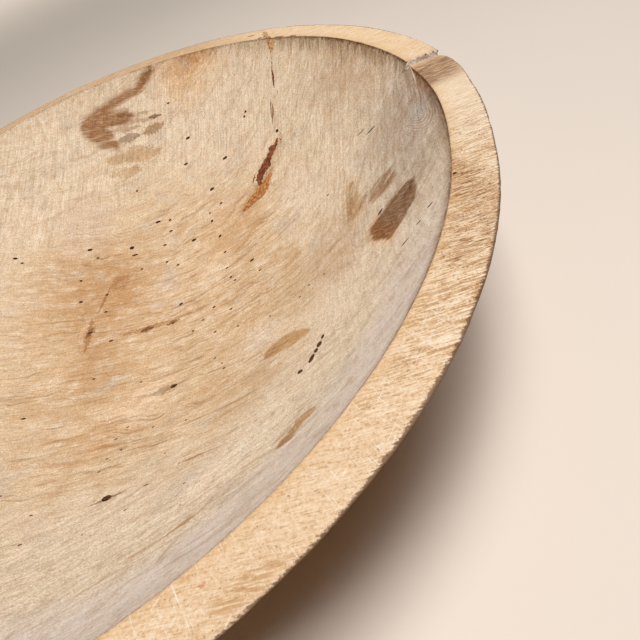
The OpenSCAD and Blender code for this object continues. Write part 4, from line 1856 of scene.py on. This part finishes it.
FILLERS: tuple[FillerStrip, ...] = (
    FillerStrip("dark_split_filler", "split_filler_dark", FillerFinish.BROWN, (
        ((277.0, 137.0, 278.4, 137.5), (275.4, 141.0, 277.9, 141.4), (273.8, 144.4, 277.4, 144.8),
         (268.6, 146.0, 276.6, 147.4), (268.2, 151.0, 275.2, 152.5), (266.6, 155.0, 273.0, 156.0),
         (263.5, 159.5, 271.4, 160.5), (260.6, 164.0, 270.8, 166.0), (258.8, 170.0, 267.0, 170.8),
         (255.8, 175.0, 264.2, 175.8), (256.0, 180.0, 263.2, 181.0), (256.8, 183.5, 262.0, 184.2),
         (258.4, 186.0, 259.6, 186.3)),
        streak((279.6, 138.0, 0.6), (280.6, 139.2, 1.6), (281.0, 140.4, 0.6)),
        streak((254.8, 174.6, 0.6), (254.4, 177.6, 1.8), (253.2, 180.6, 1.0), (252.6, 185.0, 0.5))),
        ragged=0.8, seed=7),
    FillerStrip("amber_split_filler", "split_filler_amber", FillerFinish.AMBER, (
        ((270.6, 171.5, 272.4, 172.0), (267.2, 176.5, 271.9, 178.0), (263.4, 180.0, 270.8, 181.0),
         (259.5, 185.0, 269.9, 186.0), (257.2, 188.0, 268.4, 189.5), (252.8, 193.0, 265.8, 195.0),
         (249.0, 197.0, 261.0, 198.6), (247.0, 201.0, 256.5, 202.2), (245.3, 205.0, 251.6, 206.2),
         (243.4, 208.5, 247.4, 209.6), (241.8, 211.3, 242.8, 211.8)),
        streak((265.4, 168.5, 0.5), (266.6, 172.0, 1.4), (265.8, 176.0, 0.5))), ragged=0.7, seed=11),
    FillerStrip("upper_split_streak", "split_streak_upper", FillerFinish.BROWN, (
        ((270.2, 66.0, 270.9, 66.2), (270.4, 70.0, 271.6, 70.0), (270.6, 73.0, 272.8, 73.0),
         (271.1, 77.0, 273.9, 77.0), (271.8, 81.0, 274.1, 81.5), (272.8, 85.0, 274.3, 85.5),
         (274.0, 88.0, 274.6, 88.2)),
        streak((276.6, 90.0, 0.4), (277.4, 92.0, 0.9), (278.0, 94.0, 0.4)),
        streak((270.2, 62.0, 0.4), (270.8, 64.4, 1.1), (271.2, 66.4, 0.4))), ragged=0.35, seed=5),
    FillerStrip("middle_split_streak", "split_streak_middle", FillerFinish.BROWN, (
        streak((270.9, 98.5, 0.4), (270.8, 104.0, 1.2), (271.0, 110.0, 1.2), (271.4, 115.0, 0.8),
               (271.7, 118.5, 0.3)),
        streak((272.2, 103.5, 0.4), (272.9, 108.0, 1.5), (273.0, 112.0, 1.7), (272.6, 117.0, 1.2),
               (272.3, 121.0, 0.9), (272.3, 124.5, 0.3))), ragged=0.2, seed=3),
    FillerStrip("rim_split_filler", "split_filler_rim", FillerFinish.ORANGE, (
        ((263.4, 38.6, 273.0, 38.4), (263.8, 41.6, 273.2, 41.6), (264.6, 45.0, 273.0, 45.2),
         (265.8, 48.4, 272.2, 48.8), (267.2, 51.4, 270.8, 51.6), (268.4, 54.0, 269.4, 54.2)),
        streak((266.0, 57.6, 0.4), (266.1, 59.0, 1.2), (266.0, 60.6, 0.4)),
        streak((270.2, 57.6, 0.4), (270.4, 58.8, 1.2), (270.4, 60.2, 0.4)),
        streak((268.4, 60.6, 0.3), (268.7, 61.6, 0.9), (268.8, 62.6, 0.3))), (
        ((263.2, 31.8, 267.2, 31.6), (262.4, 33.0, 268.0, 32.8), (262.2, 34.6, 268.6, 34.4),
         (262.4, 36.2, 270.2, 36.2), (262.8, 37.6, 272.6, 37.4)),), ragged=0.6, seed=2),
)


@dataclass
class CrackFiller:
    """Grey filler on the step of the cracked rim: a rounded bead from the high edge to the sunken lip."""

    inner: tuple[float, float] = (206.6, 54.2)
    outer: tuple[float, float] = (225.4, 56.0)
    rows: int = 14
    top: float = SIZES.bowl_h
    crown: tuple[tuple[float, float], ...] = (
        (-1.2, -0.9), (-0.7, -0.1), (-0.1, 0.1), (0.5, -0.35), (0.95, -1.2), (1.2, -2.0), (1.7, -2.45),
        (2.0, -3.2))
    root: float = 9.0
    root_half: float = 1.2
    droop: float = 3.4
    droop_share: float = 0.2
    droop_power: float = 1.6
    inner_end: float = 0.18
    outer_end: float = 0.12
    least_swell: float = 0.08
    least_height: float = 0.25
    waves: tuple[tuple[float, float], ...] = ((0.12, 9.0), (0.06, 23.0))
    weld: float = 0.01
    smooth_angle: float = 60.0
    pits: tuple[Hole, ...] = (Hole(425.5, 54.2, 2.4, 2.4, None, True),
                              Hole(433.2, 51.6, 2.2, 2.2, None, True))

    @staticmethod
    def _rounded(share: float, end: float) -> float:
        """Width of a rounded end, from 0 at its tip to 1 where it is over."""
        return math.sqrt(max(0.0, 1 - (1 - min(1.0, share / end)) ** 2))

    def _row(self, share: float) -> list[Vector]:
        """Closed section of the bead.

        Args:
            share: Place along the bead, from 0 at the hollow to 1 at the outside.

        Returns:
            Points in millimetres, the first one again at the end.
        """
        start, end = Vector((*self.inner, 0)), Vector((*self.outer, 0))
        away = (end - start).normalized().cross(Vector((0, 0, 1)))
        swell = min(self._rounded(share, self.inner_end), self._rounded(1 - share, self.outer_end))
        swell = max(self.least_swell, swell)
        wave = 1 + sum(size * math.sin(pace * share) for size, pace in self.waves)
        level = self.top - self.droop * max(0.0, 1.0 - share / self.droop_share) ** self.droop_power
        tall = self.least_height + (1.0 - self.least_height) * swell
        foot = ((self.root_half, -self.root), (-self.root_half, -self.root))
        row = []
        for x, z in self.crown + foot:
            aside = away * (x * swell * (wave if x > 0 else 1.0))
            row.append(start.lerp(end, share) + aside + Vector((0, 0, level + z * tall)))
        return row + row[:1]

    def build(self) -> bpy.types.Object:
        """Make the bead as a closed solid and dress it.

        Returns:
            The filler.
        """
        rows = [self._row(i / self.rows) for i in range(self.rows + 1)]
        bead = sheet_from_grid("rim_crack_bead", rows)
        bpy.ops.object.mode_set(mode="EDIT")
        bpy.ops.mesh.select_all(action="SELECT")
        bpy.ops.mesh.remove_doubles(threshold=self.weld * MM)
        bpy.ops.mesh.fill_holes(sides=0)
        bpy.ops.mesh.select_all(action="SELECT")
        bpy.ops.mesh.normals_make_consistent(inside=False)
        bpy.ops.object.mode_set(mode="OBJECT")
        bpy.ops.object.shade_smooth_by_angle(angle=math.radians(self.smooth_angle))
        bead.data.materials.append(FillerFinish.GREY.material())
        bead.data.materials.append(FillerFinish.BURROW.material())
        InsectHoles(self.pits).cut(bead)
        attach(bead, "root")
        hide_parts("rim_crack_filler")
        return bead


@dataclass(frozen=True)
class SoftLamp:
    """Square soft box: place and width in metres, and power in watts."""

    name: str
    place: tuple[float, float, float]
    width: float
    power: float

    def hang(self, target: Vector) -> None:
        """Hang the lamp so that it shines at a target."""
        data = bpy.data.lights.new(self.name, "AREA")
        data.size = self.width
        data.energy = self.power
        lamp = bpy.data.objects.new(self.name, data)
        lamp.location = self.place
        lamp.rotation_euler = (target - Vector(self.place)).to_track_quat("-Z", "Y").to_euler()
        bpy.context.scene.collection.objects.link(lamp)


@dataclass
class Studio:
    """Plain pale floor and backdrop under two soft boxes and a weak sky."""

    floor_size: float = 16.0
    floor_drop: float = 0.0003
    floor_tint: tuple[int, int, int] = (243, 229, 215)
    floor_rough: float = 0.8
    floor_gloss: float = 0.2
    cloud_per_mm: float = 0.002
    cloud_levels: int = 4
    black: Colour = (0.0, 0.0, 0.0, 1.0)
    sky_tint: Colour = (1.0, 0.9, 0.8, 1.0)
    sky_strength: float = 0.05
    backdrop_tint: tuple[int, int, int] = (222, 208, 194)
    backdrop_from: float = 600.0
    backdrop_full: float = 3400.0
    target: tuple[float, float, float] = (0.0, 0.0, 0.06)
    lamps: tuple[SoftLamp, ...] = (SoftLamp("front_soft_box", (0.08, -0.38, 2.24), 0.7, 32.2),
                                   SoftLamp("side_soft_box", (0.62, 0.0, 2.24), 0.84, 17.4))

    def _lay_floor(self) -> None:
        """Lay the floor, which runs out into the pale backdrop where the camera sees it far away."""
        bpy.ops.object.select_all(action="DESELECT")
        bpy.ops.mesh.primitive_plane_add(size=self.floor_size, location=(0, 0, -self.floor_drop))
        floor = bpy.context.object
        floor.name = "studio_floor"
        bench = Bench("floor")
        cloud = bench.noise(bench.place(), self.cloud_per_mm, 2.0)
        shade = tuple(level - self.cloud_levels for level in self.floor_tint)
        colour = bench.ramp(cloud, ((0.3, srgb(*shade)), (0.7, srgb(*self.floor_tint))))
        away = bench.distance(bench.place(), (0.0, 0.0, 0.0)).rise(self.backdrop_from, self.backdrop_full)
        share = away * bench.node("ShaderNodeLightPath", None, None, "Is Camera Ray")
        glow = bench.mix(share, self.black, srgb(*self.backdrop_tint))
        colour = bench.mix(share, colour, self.black)
        finish = bench.finish(colour, self.floor_rough, gloss=self.floor_gloss, glow=glow)
        finish.cycles.emission_sampling = "NONE"
        floor.data.materials.append(finish)

    def _light_sky(self) -> None:
        """Light the bowl with a weak sky, which the camera sees as the pale backdrop."""
        sky = Bench("studio_sky", sky=True)
        weak = sky.node("ShaderNodeBackground", None, {"Color": self.sky_tint, "Strength": self.sky_strength})
        pale = sky.node("ShaderNodeBackground", None, {"Color": srgb(*self.backdrop_tint), "Strength": 1.0})
        seen = sky.node("ShaderNodeLightPath", None, None, "Is Camera Ray")
        both = sky.node("ShaderNodeMixShader", None, {0: seen, 1: weak, 2: pale})
        sky.feed(sky.tree.nodes.new("ShaderNodeOutputWorld").inputs["Surface"], both)
        bpy.context.scene.world = sky.owner

    def build(self) -> None:
        """Lay the floor, light the sky and hang the lamps."""
        self._lay_floor()
        self._light_sky()
        for lamp in self.lamps:
            lamp.hang(Vector(self.target))


def main() -> None:
    """Build the scene piece by piece."""
    logging.basicConfig(level=logging.INFO, format="%(name)s: %(message)s")
    bpy.context.scene.view_settings.view_transform = "Standard"
    PHOTO.make_camera()
    for maker in (TurnedBowl(), *FILLERS, CrackFiller()):
        piece = maker.build()
        LOG.info("%s: %d faces", piece.name, len(piece.data.polygons))
    Studio().build()


if __name__ == "__main__":
    main()
